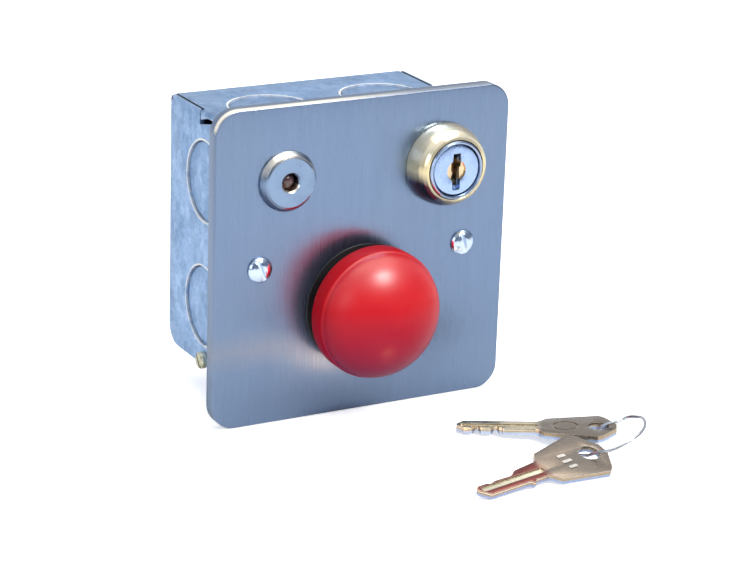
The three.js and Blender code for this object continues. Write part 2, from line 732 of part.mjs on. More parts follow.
const KEY_B = {
  upper: [
    [0, 0.3], [0.9, 1.3], [3.4, 1.3], [4.2, 0.95], [5.4, 0.95], [6.2, 1.3],
    [8.0, 1.2], [8.8, 0.95], [11.6, 0.95], [13.8, 2.3], [BLADE_END, BLADE_HALF],
  ],
  lower: [
    [BLADE_END, -BLADE_HALF], [16.8, -BLADE_HALF], [16.3, -3.9], [15.5, -3.9],
    [15.1, -BLADE_HALF], [1.8, -BLADE_HALF], [0, -0.6],
  ],
};
const POSE_B = { tip: [-1.86, -111.19, FLOOR_Z + 0.93], heading: 10.02, pitch: 1.83, lean: 13.71 };
put("key_b", key(KEY_B), nickel, keyPose(POSE_B));

// ---------- key ring ----------
// where the wire passes through each key's hole
const HOLE_A = [46.64, -91.3, FLOOR_Z + 3.2];
const HOLE_B = [34.74, -104.94, FLOOR_Z + 3.0];
// one loop of thin wire, [x, y, z]; its ends stop about 0.5 mm apart, near the floor
const RING_PATH = [
  [38.95, -93.7, -43.95], [41.5, -92.8, -43.75], [43.8, -92.15, -43.1], [45.45, -91.7, -42.3],
  HOLE_A,
  [47.4, -91.95, -40.3], [48.9, -93.0, -39.4], [50.45, -94.0, -38.85], [52.3, -94.1, -38.35],
  [53.5, -95.0, -37.6], [53.95, -97.5, -36.7], [53.75, -100.2, -35.9], [52.5, -103.5, -35.3],
  [49.8, -107.6, -35.1], [46.8, -110.2, -35.35], [44.0, -111.2, -36.1], [41.0, -111.2, -37.3],
  [38.0, -110.3, -38.6], [36.3, -108.7, -39.4], [35.3, -106.9, -40.3],
  HOLE_B,
  [34.62, -103.5, -42.0], [34.6, -101.9, -42.6], [34.85, -99.4, -43.35],
  [36.0, -96.2, -43.85], [38.5, -93.98, -43.95],
];
put("key_ring", wire(through(RING_PATH), { radius: 0.42, steps: 96 }), springSteel);

export default station;
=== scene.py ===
import math

import bmesh
import bpy
from mathutils import Matrix, Vector


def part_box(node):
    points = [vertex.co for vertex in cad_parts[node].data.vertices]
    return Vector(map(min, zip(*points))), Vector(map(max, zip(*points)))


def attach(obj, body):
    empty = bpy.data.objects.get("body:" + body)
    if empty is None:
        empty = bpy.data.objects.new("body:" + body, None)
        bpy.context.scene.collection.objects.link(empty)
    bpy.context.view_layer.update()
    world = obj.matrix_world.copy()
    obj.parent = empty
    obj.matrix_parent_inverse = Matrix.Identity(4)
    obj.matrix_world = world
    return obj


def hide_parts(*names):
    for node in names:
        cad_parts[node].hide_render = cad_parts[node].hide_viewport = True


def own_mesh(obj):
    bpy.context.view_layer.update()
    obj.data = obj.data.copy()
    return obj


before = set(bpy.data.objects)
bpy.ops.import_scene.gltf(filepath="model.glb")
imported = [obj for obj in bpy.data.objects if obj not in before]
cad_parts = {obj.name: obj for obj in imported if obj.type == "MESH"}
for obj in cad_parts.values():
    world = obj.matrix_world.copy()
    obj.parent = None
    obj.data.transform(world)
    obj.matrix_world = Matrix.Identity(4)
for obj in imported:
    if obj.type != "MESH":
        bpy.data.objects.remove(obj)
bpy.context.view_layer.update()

K = 0.001  # the lists below are in millimetres
COL = bpy.context.scene.collection

# ---------------------------------------------------------------- places, read from the frame
def mm(v):
    return [c * 1000 for c in v]


def centre(node):
    lo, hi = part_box(node)
    return mm((lo + hi) / 2)


PL, PH = (mm(v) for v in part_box("faceplate"))
FACE_Y, RIM_Y = PL[1], PH[1]
PLATE = PH[0] - PL[0]
PLATE_Z = (PL[2] + PH[2]) / 2
BL, BH = (mm(v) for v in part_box("box_body"))
BOX_FRONT, H = BL[1], BH[0]
LAMP = centre("lamp_bezel")
LOCK = centre("lock_collar")
PUSH = centre("button_head")
SCR = [centre("plate_screw_left"), centre("plate_screw_right")]
SIDE_SCR = [centre("left_side_screw"), centre("right_side_screw")]
FLOOR_Z = PL[2]
PLATE_T, WALL, BEND_R, KO_R, KEY_T = 1.5, 1.3, 5.5, 10.8, 1.8
IN_Y = FACE_Y + PLATE_T


# ---------------------------------------------------------------- mesh helpers
def obj_from(name, verts, faces):
    me = bpy.data.meshes.new(name)
    me.from_pydata([(x * K, y * K, z * K) for x, y, z in verts], [], faces)
    bm = bmesh.new()
    bm.from_mesh(me)
    bmesh.ops.remove_doubles(bm, verts=bm.verts, dist=2e-7)
    bmesh.ops.recalc_face_normals(bm, faces=bm.faces)
    bm.to_mesh(me)
    bm.free()
    o = bpy.data.objects.new(name, me)
    COL.objects.link(o)
    return o


def bake(o):
    dg = bpy.context.evaluated_depsgraph_get()
    dg.update()
    me = bpy.data.meshes.new_from_object(o.evaluated_get(dg))
    old = o.data
    o.modifiers.clear()
    o.data = me
    me.name = o.name
    if old.users == 0:
        bpy.data.meshes.remove(old)
    return o


def drop(*objs):
    for o in objs:
        me = o.data
        bpy.data.objects.remove(o)
        if me.users == 0:
            bpy.data.meshes.remove(me)


def boolean(o, tools, op="DIFFERENCE"):
    for t in tools:
        m = o.modifiers.new("b", "BOOLEAN")
        m.object, m.operation, m.solver = t, op, "EXACT"
    bake(o)
    drop(*tools)
    bm = bmesh.new()
    bm.from_mesh(o.data)
    bmesh.ops.remove_doubles(bm, verts=bm.verts, dist=1e-6)
    bmesh.ops.dissolve_degenerate(bm, dist=1e-6, edges=bm.edges)
    bm.to_mesh(o.data)
    bm.free()
    return o


def bevel(o, width=0.15, segments=2, angle=35):
    m = o.modifiers.new("v", "BEVEL")
    m.width, m.segments = width * K, segments
    m.limit_method, m.angle_limit = "ANGLE", math.radians(angle)
    m.use_clamp_overlap = True
    m.miter_outer = "MITER_ARC"
    return bake(o)


def shade(o, angle=32):
    me = o.data
    me.polygons.foreach_set("use_smooth", [True] * len(me.polygons))
    me.set_sharp_from_angle(angle=math.radians(angle))
    me.update()
    return o


def prism(name, outline, to3, a, b):
    n = len(outline)
    verts = [to3(u, v, a) for u, v in outline] + [to3(u, v, b) for u, v in outline]
    faces = [tuple(range(n)), tuple(range(2 * n - 1, n - 1, -1))]
    faces += [(i, (i + 1) % n, n + (i + 1) % n, n + i) for i in range(n)]
    return obj_from(name, verts, faces)


XZ = lambda u, v, w: (u, w, v)  # outline in x, z; depth along y
YZ = lambda u, v, w: (w, u, v)  # outline in y, z; depth along x
XY = lambda u, v, w: (u, v, w)  # outline in x, y; depth along z


def arc(u, v, r, a0, a1, n):
    return [
        (
            u + r * math.cos(math.radians(a0 + (a1 - a0) * i / n)),
            v + r * math.sin(math.radians(a0 + (a1 - a0) * i / n)),
        )
        for i in range(n + 1)
    ]


def round_rect(u, v, w, h, r, n=12):
    a, b = w / 2 - r, h / 2 - r
    return (
        arc(u + a, v + b, r, 0, 90, n)
        + arc(u - a, v + b, r, 90, 180, n)
        + arc(u - a, v - b, r, 180, 270, n)
        + arc(u + a, v - b, r, 270, 360, n)
    )


def circle(u, v, r, n=64):
    return [
        (u + r * math.cos(2 * math.pi * i / n), v + r * math.sin(2 * math.pi * i / n))
        for i in range(n)
    ]


def cyl(axis, u, v, r, a, b, n=64):
    return prism("t", circle(u, v, r, n), {"x": YZ, "y": XZ, "z": XY}[axis], a, b)


def block(x0, x1, y0, y1, z0, z1, name="t"):
    return prism(name, [(x0, y0), (x1, y0), (x1, y1), (x0, y1)], XY, z0, z1)


def rounded(points, r, n=4, closed=False, keep=()):
    """Corners of a 2-D polyline rounded with radius r; an index in keep stays sharp."""
    out, m = [], len(points)
    for i, p in enumerate(points):
        if (not closed and i in (0, m - 1)) or i in keep:
            out.append(p)
            continue
        p = Vector(p)
        a, b = Vector(points[i - 1]) - p, Vector(points[(i + 1) % m]) - p
        if a.length < 1e-9 or b.length < 1e-9:
            continue
        ang = a.angle(b)
        if ang > math.radians(176):
            out.append(tuple(p))
            continue
        rr = r[i] if isinstance(r, dict) and i in r else (r.get("all", 0) if isinstance(r, dict) else r)
        if rr <= 0:
            out.append(tuple(p))
            continue
        d = min(rr / math.tan(ang / 2), a.length * 0.48, b.length * 0.48)
        pa, pb = p + a.normalized() * d, p + b.normalized() * d
        for k in range(n + 1):
            t = k / n
            q = pa * (1 - t) ** 2 + p * 2 * t * (1 - t) + pb * t * t
            out.append(tuple(q))
    return out


def lathe(name, x, z, profile, seg=96, closed=True):
    """Profile of (radius, height in front of the plate face), turned about an axis along Y."""
    verts, rings = [], []
    for r, h in profile:
        if r < 1e-6:
            rings.append([len(verts)] * seg)
            verts.append((x, FACE_Y - h, z))
        else:
            rings.append(list(range(len(verts), len(verts) + seg)))
            verts += [
                (
                    x + r * math.cos(2 * math.pi * i / seg),
                    FACE_Y - h,
                    z + r * math.sin(2 * math.pi * i / seg),
                )
                for i in range(seg)
            ]
    faces = []
    pairs = list(zip(rings, rings[1:]))
    if closed and profile[0][0] > 1e-6 and profile[0] != profile[-1]:
        pairs.append((rings[-1], rings[0]))
    for a, b in pairs:
        for i in range(seg):
            j = (i + 1) % seg
            q = [a[i], a[j], b[j], b[i]]
            f = [q[0]]
            for k in q[1:]:
                if k != f[-1] and k != f[0]:
                    f.append(k)
            if len(f) >= 3:
                faces.append(tuple(f))
    return obj_from(name, verts, faces)


def tube(name, pts, r, sides=12, closed=False):
    pts = [Vector(p) for p in pts]
    m = len(pts)
    verts, rings, normal = [], [], None
    for i, p in enumerate(pts):
        if closed:
            t = (pts[(i + 1) % m] - pts[i - 1]).normalized()
        else:
            t = (pts[min(i + 1, m - 1)] - pts[max(i - 1, 0)]).normalized()
        if normal is None:
            normal = t.orthogonal().normalized()
        normal = (normal - t * normal.dot(t)).normalized()
        side = t.cross(normal)
        rings.append(list(range(len(verts), len(verts) + sides)))
        for k in range(sides):
            a = 2 * math.pi * k / sides
            verts.append(tuple(p + (normal * math.cos(a) + side * math.sin(a)) * r))
    faces = []
    for a, b in list(zip(rings, rings[1:])) + ([(rings[-1], rings[0])] if closed else []):
        faces += [(a[k], a[(k + 1) % sides], b[(k + 1) % sides], b[k]) for k in range(sides)]
    if not closed:
        faces += [tuple(reversed(rings[0])), tuple(rings[-1])]
    return obj_from(name, verts, faces)


def catmull(ctrl, steps=10, closed=False):
    """Centripetal Catmull-Rom through the control points."""
    p = [Vector(c) for c in ctrl]
    if closed:
        p = [p[-1]] + p + [p[0], p[1]]
    else:
        p = [p[0] * 2 - p[1]] + p + [p[-1] * 2 - p[-2]]
    out = []
    for i in range(len(p) - 3):
        p0, p1, p2, p3 = p[i : i + 4]
        t0 = 0.0
        t1 = t0 + max((p1 - p0).length, 1e-6) ** 0.5
        t2 = t1 + max((p2 - p1).length, 1e-6) ** 0.5
        t3 = t2 + max((p3 - p2).length, 1e-6) ** 0.5
        for k in range(steps):
            t = t1 + (t2 - t1) * k / steps
            a1 = p0 * ((t1 - t) / (t1 - t0)) + p1 * ((t - t0) / (t1 - t0))
            a2 = p1 * ((t2 - t) / (t2 - t1)) + p2 * ((t - t1) / (t2 - t1))
            a3 = p2 * ((t3 - t) / (t3 - t2)) + p3 * ((t - t2) / (t3 - t2))
            b1 = a1 * ((t2 - t) / (t2 - t0)) + a2 * ((t - t0) / (t2 - t0))
            b2 = a2 * ((t3 - t) / (t3 - t1)) + a3 * ((t - t1) / (t3 - t1))
            out.append(b1 * ((t2 - t) / (t2 - t1)) + b2 * ((t - t1) / (t2 - t1)))
    if not closed:
        out.append(p[-2])
    return out


# ---------------------------------------------------------------- materials
def srgb(r, g, b):
    f = lambda c: c / 255 / 12.92 if c / 255 <= 0.04045 else ((c / 255 + 0.055) / 1.055) ** 2.4
    return (f(r), f(g), f(b), 1.0)


class Mat:
    def __init__(self, name):
        self.m = bpy.data.materials.new(name)
        self.m.use_nodes = True
        self.nt = self.m.node_tree
        self.b = self.nt.nodes["Principled BSDF"]
        self.tc = self.nt.nodes.new("ShaderNodeTexCoord")

    def n(self, kind, **kw):
        node = self.nt.nodes.new("ShaderNode" + kind)
        for k, v in kw.items():
            setattr(node, k, v)
        return node

    def link(self, a, b):
        self.nt.links.new(a, b)

    def set(self, **kw):
        for k, v in kw.items():
            self.b.inputs[k.replace("_", " ")].default_value = v

    def mapping(self, scale, rot=(0, 0, 0)):
        mp = self.n("Mapping")
        mp.inputs["Scale"].default_value = scale
        mp.inputs["Rotation"].default_value = rot
        self.link(self.tc.outputs["Object"], mp.inputs["Vector"])
        return mp.outputs["Vector"]

    def noise(self, vec, scale, detail=4, rough=0.55, distortion=0.0):
        t = self.n("TexNoise")
        t.inputs["Scale"].default_value = scale
        t.inputs["Detail"].default_value = detail
        t.inputs["Roughness"].default_value = rough
        t.inputs["Distortion"].default_value = distortion
        self.link(vec, t.inputs["Vector"])
        return t

    def ramp(self, fac, stops):
        r = self.n("ValToRGB")
        e = r.color_ramp.elements
        while len(e) > len(stops):
            e.remove(e[-1])
        while len(e) < len(stops):
            e.new(0.5)
        for el, (pos, col) in zip(e, stops):
            el.position, el.color = pos, col
        self.link(fac, r.inputs["Fac"])
        return r.outputs["Color"]

    def maprange(self, fac, lo, hi, a=0.0, b=1.0):
        r = self.n("MapRange")
        for k, v in (("From Min", a), ("From Max", b), ("To Min", lo), ("To Max", hi)):
            r.inputs[k].default_value = v
        self.link(fac, r.inputs["Value"])
        return r.outputs["Result"]

    def mix(self, fac, a, b, mode="MIX"):
        x = self.n("Mix", data_type="RGBA", blend_type=mode)
        for sock, val in ((x.inputs[0], fac), (x.inputs[6], a), (x.inputs[7], b)):
            if isinstance(val, (int, float)):
                sock.default_value = val
            elif isinstance(val, tuple):
                sock.default_value = val
            else:
                self.link(val, sock)
        return x.outputs[2]

    def math(self, op, a, b=None):
        x = self.n("Math", operation=op)
        for i, v in enumerate((a, b)):
            if v is None:
                continue
            if isinstance(v, (int, float)):
                x.inputs[i].default_value = v
            else:
                self.link(v, x.inputs[i])
        return x.outputs[0]

    def bump(self, height, strength, distance, normal=None):
        bp = self.n("Bump")
        bp.inputs["Strength"].default_value = strength
        bp.inputs["Distance"].default_value = distance
        self.link(height, bp.inputs["Height"])
        if normal is not None:
            self.link(normal, bp.inputs["Normal"])
        return bp.outputs["Normal"]

    def edges(self, radius=0.0004):
        """0 on flat metal, 1 where an outer edge is worn bright."""
        bv = self.n("Bevel", samples=4)
        bv.inputs["Radius"].default_value = radius
        geo = self.n("NewGeometry")
        dot = self.n("VectorMath", operation="DOT_PRODUCT")
        self.link(bv.outputs["Normal"], dot.inputs[0])
        self.link(geo.outputs["True Normal"], dot.inputs[1])
        inv = self.math("SUBTRACT", 1.0, dot.outputs["Value"])
        return self.maprange(inv, 0.0, 1.0, 0.02, 0.25)


def galvanised(name, rims=(), seam_shade=False):
    """Hot-dip zinc: soft spangle cells, each with its own tone, tilt and roughness, over fine mottling.
    rims: (first axis, second axis, u, v) of each punched disc; a painted highlight runs round its ring slot, partly the
    bright sheared edge."""
    s = Mat(name)
    v = s.mapping((1, 1, 1))
    warp = s.noise(v, 320, 4)
    add = s.n("VectorMath", operation="MULTIPLY_ADD")
    s.link(warp.outputs["Color"], add.inputs[0])
    add.inputs[1].default_value = (0.0022, 0.0022, 0.0022)
    s.link(v, add.inputs[2])
    cell = s.n("TexVoronoi")
    cell.inputs["Scale"].default_value = 420
    s.link(add.outputs[0], cell.inputs["Vector"])
    cell2 = s.n("TexVoronoi")
    cell2.inputs["Scale"].default_value = 1100
    s.link(add.outputs[0], cell2.inputs["Vector"])
    sep = s.n("SeparateColor")
    s.link(cell.outputs["Color"], sep.inputs[0])
    sep2 = s.n("SeparateColor")
    s.link(cell2.outputs["Color"], sep2.inputs[0])
    cloud = s.noise(s.mapping((1, 1, 0.45)), 150, 5, 0.62)
    tone = s.math("ADD", s.math("MULTIPLY", sep.outputs[0], 0.14), s.math("MULTIPLY", cloud.outputs[0], 0.74))
    tone = s.math("ADD", tone, s.math("MULTIPLY", sep2.outputs[0], 0.12))
    colour = s.ramp(
        tone,
        [
            (0.28, srgb(116, 148, 188)),
            (0.44, srgb(144, 174, 210)),
            (0.56, srgb(158, 188, 224)),
            (0.74, srgb(186, 210, 240)),
        ],
    )
    stain = s.noise(v, 38, 4, 0.7)
    colour = s.mix(s.maprange(stain.outputs[0], 0.0, 0.4, 0.55, 0.8), colour, srgb(124, 156, 176))
    colour = s.mix(s.math("MULTIPLY", s.edges(0.0004), 0.4), colour, srgb(222, 228, 236))
    up = s.n("SeparateXYZ")
    s.link(s.n("NewGeometry").outputs["Normal"], up.inputs[0])
    # painted shade: faces that point up are a little darker than the sides, offsetting the strong overhead light
    colour = s.mix(s.maprange(up.outputs[2], 0.0, 0.45, 0.6, 0.9), colour, srgb(106, 130, 164))
    s.set(Metallic=0.82)
    if seam_shade:
        # painted shade in the gap between the top and the side sheets, and in the open rear corner
        at = s.n("SeparateXYZ")
        s.link(v, at.inputs[0])
        ax = s.math("ABSOLUTE", at.outputs[0])
        joint_shade = s.math("MULTIPLY", s.maprange(ax, 0.0, 1.0, (H - 1.36) * K, (H - 1.28) * K), s.maprange(ax, 1.0, 0.0, (H - 0.6) * K, (H - 0.52) * K))
        joint_shade = s.math("MULTIPLY", joint_shade, s.maprange(at.outputs[1], 0.0, 1.0, -19.2 * K, -18.9 * K))
        corner = s.math("MULTIPLY", s.maprange(ax, 0.0, 1.0, (H - 2.6) * K, (H - 2.1) * K), s.maprange(at.outputs[1], 0.0, 1.0, -1.5 * K, -1.0 * K))
        joint_shade = s.math("MULTIPLY", s.math("MAXIMUM", joint_shade, corner), s.maprange(at.outputs[2], 0.0, 1.0, (H - 1.9) * K, (H - 1.3) * K))
        colour = s.mix(s.math("MULTIPLY", joint_shade, 0.85), colour, srgb(62, 58, 54))
    # painted highlight round each ring slot, partly the bright sheared edge; the metal is made less metallic there
    if rims:
        pos = s.n("SeparateXYZ")
        s.link(v, pos.inputs[0])
        rim_highlight = None
        for i, j, u, w in rims:
            du = s.math("SUBTRACT", pos.outputs[i], u * K)
            dv = s.math("SUBTRACT", pos.outputs[j], w * K)
            d = s.math("SQRT", s.math("ADD", s.math("MULTIPLY", du, du), s.math("MULTIPLY", dv, dv)))
            off = s.math("ABSOLUTE", s.math("SUBTRACT", d, (KO_R + 0.35) * K))
            m = s.maprange(off, 1.0, 0.0, 0.12 * K, 0.34 * K)
            rim_highlight = m if rim_highlight is None else s.math("MAXIMUM", rim_highlight, m)
        broken = s.noise(v, 260, 3, 0.6)
        rim_highlight = s.math("MULTIPLY", rim_highlight, s.maprange(broken.outputs[0], 0.35, 1.0, 0.36, 0.52))
        colour = s.mix(rim_highlight, colour, srgb(246, 243, 232))
        s.link(s.math("SUBTRACT", 0.82, s.math("MULTIPLY", rim_highlight, 0.7)), s.b.inputs["Metallic"])
    s.link(colour, s.b.inputs["Base Color"])
    s.link(s.maprange(sep.outputs[1], 0.46, 0.56), s.b.inputs["Roughness"])
    geo = s.n("NewGeometry")
    tilt = s.n("VectorMath", operation="SUBTRACT")
    s.link(cell.outputs["Color"], tilt.inputs[0])
    tilt.inputs[1].default_value = (0.5, 0.5, 0.5)
    sc = s.n("VectorMath", operation="SCALE")
    s.link(tilt.outputs[0], sc.inputs[0])
    sc.inputs["Scale"].default_value = 0.03
    nn = s.n("VectorMath", operation="ADD")
    s.link(geo.outputs["Normal"], nn.inputs[0])
    s.link(sc.outputs[0], nn.inputs[1])
    no = s.n("VectorMath", operation="NORMALIZE")
    s.link(nn.outputs[0], no.inputs[0])
    fine = s.noise(v, 2600, 2)
    s.link(s.bump(fine.outputs[0], 0.12, 0.0001, no.outputs[0]), s.b.inputs["Normal"])
    return s.m


def brushed():
    """Stainless sheet with vertical brushing: fine streaks in tone, roughness and relief."""
    s = Mat("brushed_sheet")
    streak = s.noise(s.mapping((1, 1, 0.012)), 5200, 4, 0.7)
    broad = s.noise(s.mapping((1, 1, 0.05)), 420, 3, 0.5)
    cloud = s.noise(s.mapping((1, 1, 1)), 22, 3, 0.5)
    t = s.math("ADD", s.math("MULTIPLY", streak.outputs[0], 0.65), s.math("MULTIPLY", broad.outputs[0], 0.35))
    colour = s.ramp(
        t,
        [
            (0.3, srgb(113, 132, 160)),
            (0.5, srgb(116, 136, 165)),
            (0.7, srgb(120, 139, 169)),
        ],
    )
    colour = s.mix(s.maprange(cloud.outputs[0], 0.0, 0.3, 0.45, 0.75), colour, srgb(124, 139, 156))
    pos = s.n("SeparateXYZ")
    s.link(s.mapping((1, 1, 1)), pos.inputs[0])
    # painted shade: slightly darker towards the bottom
    low = s.maprange(pos.outputs[2], 1.0, 0.0, -0.044, -0.012)
    colour = s.mix(s.math("MULTIPLY", low, 0.3), colour, srgb(116, 136, 156))
    # a painted sheen at the lower left: a lighter grey horizontal streak that stands in for a blurred reflection
    wave = s.noise(s.mapping((1, 1, 1)), 60, 3)
    zz = s.math("ADD", pos.outputs[2], s.math("MULTIPLY", wave.outputs[0], 0.004))
    sheen_band = s.math("MULTIPLY", s.maprange(s.math("ABSOLUTE", s.math("ADD", zz, 0.0215)), 1.0, 0.0, 0.0, 0.0055), s.maprange(pos.outputs[0], 1.0, 0.0, -0.03, -0.004))
    colour = s.mix(s.math("MULTIPLY", sheen_band, 0.4), colour, srgb(146, 146, 152))
    colour = s.mix(s.math("MULTIPLY", s.edges(0.0004), 0.6), colour, srgb(246, 238, 222))
    # painted highlight on the folded edge round the top: cream and less metallic where it faces up, fading towards the
    # right
    geo = s.n("NewGeometry")
    ns = s.n("SeparateXYZ")
    s.link(geo.outputs["True Normal"], ns.inputs[0])
    top = s.maprange(ns.outputs[2], 0.0, 1.0, 0.1, 0.3)
    top = s.math("MULTIPLY", top, s.maprange(pos.outputs[1], 1.0, 0.0, (FACE_Y + 1.5) * K, (FACE_Y + 2.1) * K))
    top = s.math("MULTIPLY", top, s.maprange(pos.outputs[1], 0.25, 1.0, (FACE_Y + 0.15) * K, (FACE_Y + 0.45) * K))
    top = s.math("MULTIPLY", top, s.maprange(pos.outputs[0], 1.0, 0.2, -0.012, 0.018))
    colour = s.mix(top, colour, srgb(252, 244, 226))
    s.link(colour, s.b.inputs["Base Color"])
    s.link(s.math("SUBTRACT", 0.92, s.math("MULTIPLY", top, 0.5)), s.b.inputs["Metallic"])
    s.link(s.maprange(streak.outputs[0], 0.25, 0.35, 0.3, 0.7), s.b.inputs["Roughness"])
    s.set(Anisotropic=0.6)
    tan = s.n("CombineXYZ")
    tan.inputs[0].default_value = 1.0
    s.link(tan.outputs[0], s.b.inputs["Tangent"])
    s.link(s.bump(streak.outputs[0], 0.07, 0.00004), s.b.inputs["Normal"])
    return s.m


def plated(name, base, worn, rough=0.2, metallic=1.0, scratch=0.05, core=None, crown_highlight=None, under=None):
    """Plated metal: faint scratches, cloudy tarnish, brighter worn edges."""
    s = Mat(name)
    v = s.mapping((1, 1, 1))
    cloud = s.noise(v, 160, 5, 0.6)
    fine = s.noise(s.mapping((1, 1, 0.2)), 2400, 3, 0.6)
    colour = s.mix(s.maprange(cloud.outputs[0], 0.0, 0.6, 0.4, 0.75), base, worn)
    light = tuple(min(1.0, c * 1.35 + 0.05) for c in base[:3]) + (1.0,)
    colour = s.mix(s.math("MULTIPLY", s.edges(0.00025), 0.6), colour, light)
    if crown_highlight or under:
        # turned trim: painted highlight on the bevel that faces up, painted shade on the flank that faces down and to
        # the left
        geo = s.n("NewGeometry")
        ns = s.n("SeparateXYZ")
        s.link(geo.outputs["Normal"], ns.inputs[0])
        if crown_highlight:
            colour = s.mix(s.maprange(ns.outputs[2], 0.0, 1.0, 0.12, 0.4), colour, crown_highlight)
        if under:
            down = s.math("MULTIPLY", s.maprange(ns.outputs[2], 1.0, 0.0, -0.3, 0.0), s.maprange(ns.outputs[0], 1.0, 0.0, -0.3, 0.45))
            colour = s.mix(down, colour, under)
    if core:
        # bare brass inside the round entry of the keyway
        x, z, radius, y = core
        sep = s.n("SeparateXYZ")
        s.link(v, sep.inputs[0])
        dx = s.math("SUBTRACT", sep.outputs[0], x * K)
        dz = s.math("SUBTRACT", sep.outputs[2], z * K)
        d = s.math("SQRT", s.math("ADD", s.math("MULTIPLY", dx, dx), s.math("MULTIPLY", dz, dz)))
        inside = s.math("MULTIPLY", s.maprange(d, 1.0, 0.0, (radius - 0.2) * K, radius * K), s.maprange(sep.outputs[1], 0.0, 1.0, (y - 0.1) * K, y * K))
        colour = s.mix(inside, colour, srgb(226, 202, 164))
    s.link(colour, s.b.inputs["Base Color"])
    s.set(Metallic=metallic)
    r = s.math("ADD", s.maprange(cloud.outputs[0], rough * 0.7, rough * 1.35, 0.3, 0.7), s.maprange(fine.outputs[0], -scratch, scratch, 0.3, 0.7))
    s.link(r, s.b.inputs["Roughness"])
    s.link(s.bump(fine.outputs[0], 0.1, 0.00004), s.b.inputs["Normal"])
    return s.m


def key_metal(name, bow, blade, groove, dark_edge):
    """Nickel silver worn by use: the blade is rubbed to another tone than the bow, the groove and raised marks stay bright."""
    s = Mat(name)
    v = s.mapping((1, 1, 1))
    at = s.n("Attribute", attribute_name="local")
    sep = s.n("SeparateXYZ")
    s.link(at.outputs["Vector"], sep.inputs[0])
    cloud = s.noise(v, 210, 5, 0.6)
    fine = s.noise(s.mapping((0.3, 1, 1), (0, 0, 0.4)), 2800, 3, 0.6)
    on_bow = s.maprange(sep.outputs[0], 0.0, 1.0, 20.0, 22.5)
    colour = s.mix(on_bow, blade, bow)
    dull = s.mix(0.3, colour, srgb(92, 72, 60))
    colour = s.mix(s.maprange(cloud.outputs[0], 0.0, 0.75, 0.38, 0.72), colour, dull)
    deep = s.math("MULTIPLY", s.maprange(sep.outputs[2], 1.0, 0.0, KEY_T - 0.42, KEY_T - 0.3), s.maprange(sep.outputs[2], 0.0, 1.0, KEY_T - 0.6, KEY_T - 0.52))
    deep = s.math("MULTIPLY", deep, s.math("SUBTRACT", 1.0, on_bow))
    colour = s.mix(deep, colour, groove)
    # the high edge is darker
    half = s.math("ADD", 5.83, s.math("MULTIPLY", s.math("SUBTRACT", sep.outputs[0], 23.4), 0.208))
    edge_bow = s.maprange(s.math("SUBTRACT", half, sep.outputs[1]), 1.0, 0.0, 0.3, 0.9)
    edge_blade = s.maprange(sep.outputs[1], 0.0, 1.0, 2.1, 2.6)
    high = s.math("ADD", s.math("MULTIPLY", edge_bow, on_bow), s.math("MULTIPLY", edge_blade, s.math("SUBTRACT", 1.0, on_bow)))
    colour = s.mix(s.math("MULTIPLY", high, dark_edge), colour, srgb(84, 62, 50))
    # cut sides show bare pale metal
    wall = s.math("MULTIPLY", s.maprange(sep.outputs[2], 1.0, 0.0, KEY_T - 0.2, KEY_T - 0.1), s.math("SUBTRACT", 1.0, deep))
    side = s.mix(s.maprange(sep.outputs[2], 1.0, 0.0, 0.5, 0.9), (0.42, 0.33, 0.22, 1.0), srgb(168, 194, 234))
    colour = s.mix(s.math("MULTIPLY", wall, 0.8), colour, side)
    raised = s.maprange(sep.outputs[2], 0.0, 1.0, KEY_T + 0.02, KEY_T + 0.1)
    colour = s.mix(raised, colour, srgb(246, 240, 230))
    colour = s.mix(s.math("MULTIPLY", s.edges(0.00025), 0.7), colour, srgb(244, 236, 220))
    s.link(colour, s.b.inputs["Base Color"])
    s.set(Metallic=0.95)
    r = s.math("ADD", s.maprange(cloud.outputs[0], 0.18, 0.34, 0.3, 0.7), s.maprange(fine.outputs[0], -0.05, 0.05, 0.3, 0.7))
    s.link(r, s.b.inputs["Roughness"])
    s.link(s.bump(fine.outputs[0], 0.12, 0.00004), s.b.inputs["Normal"])
    return s.m


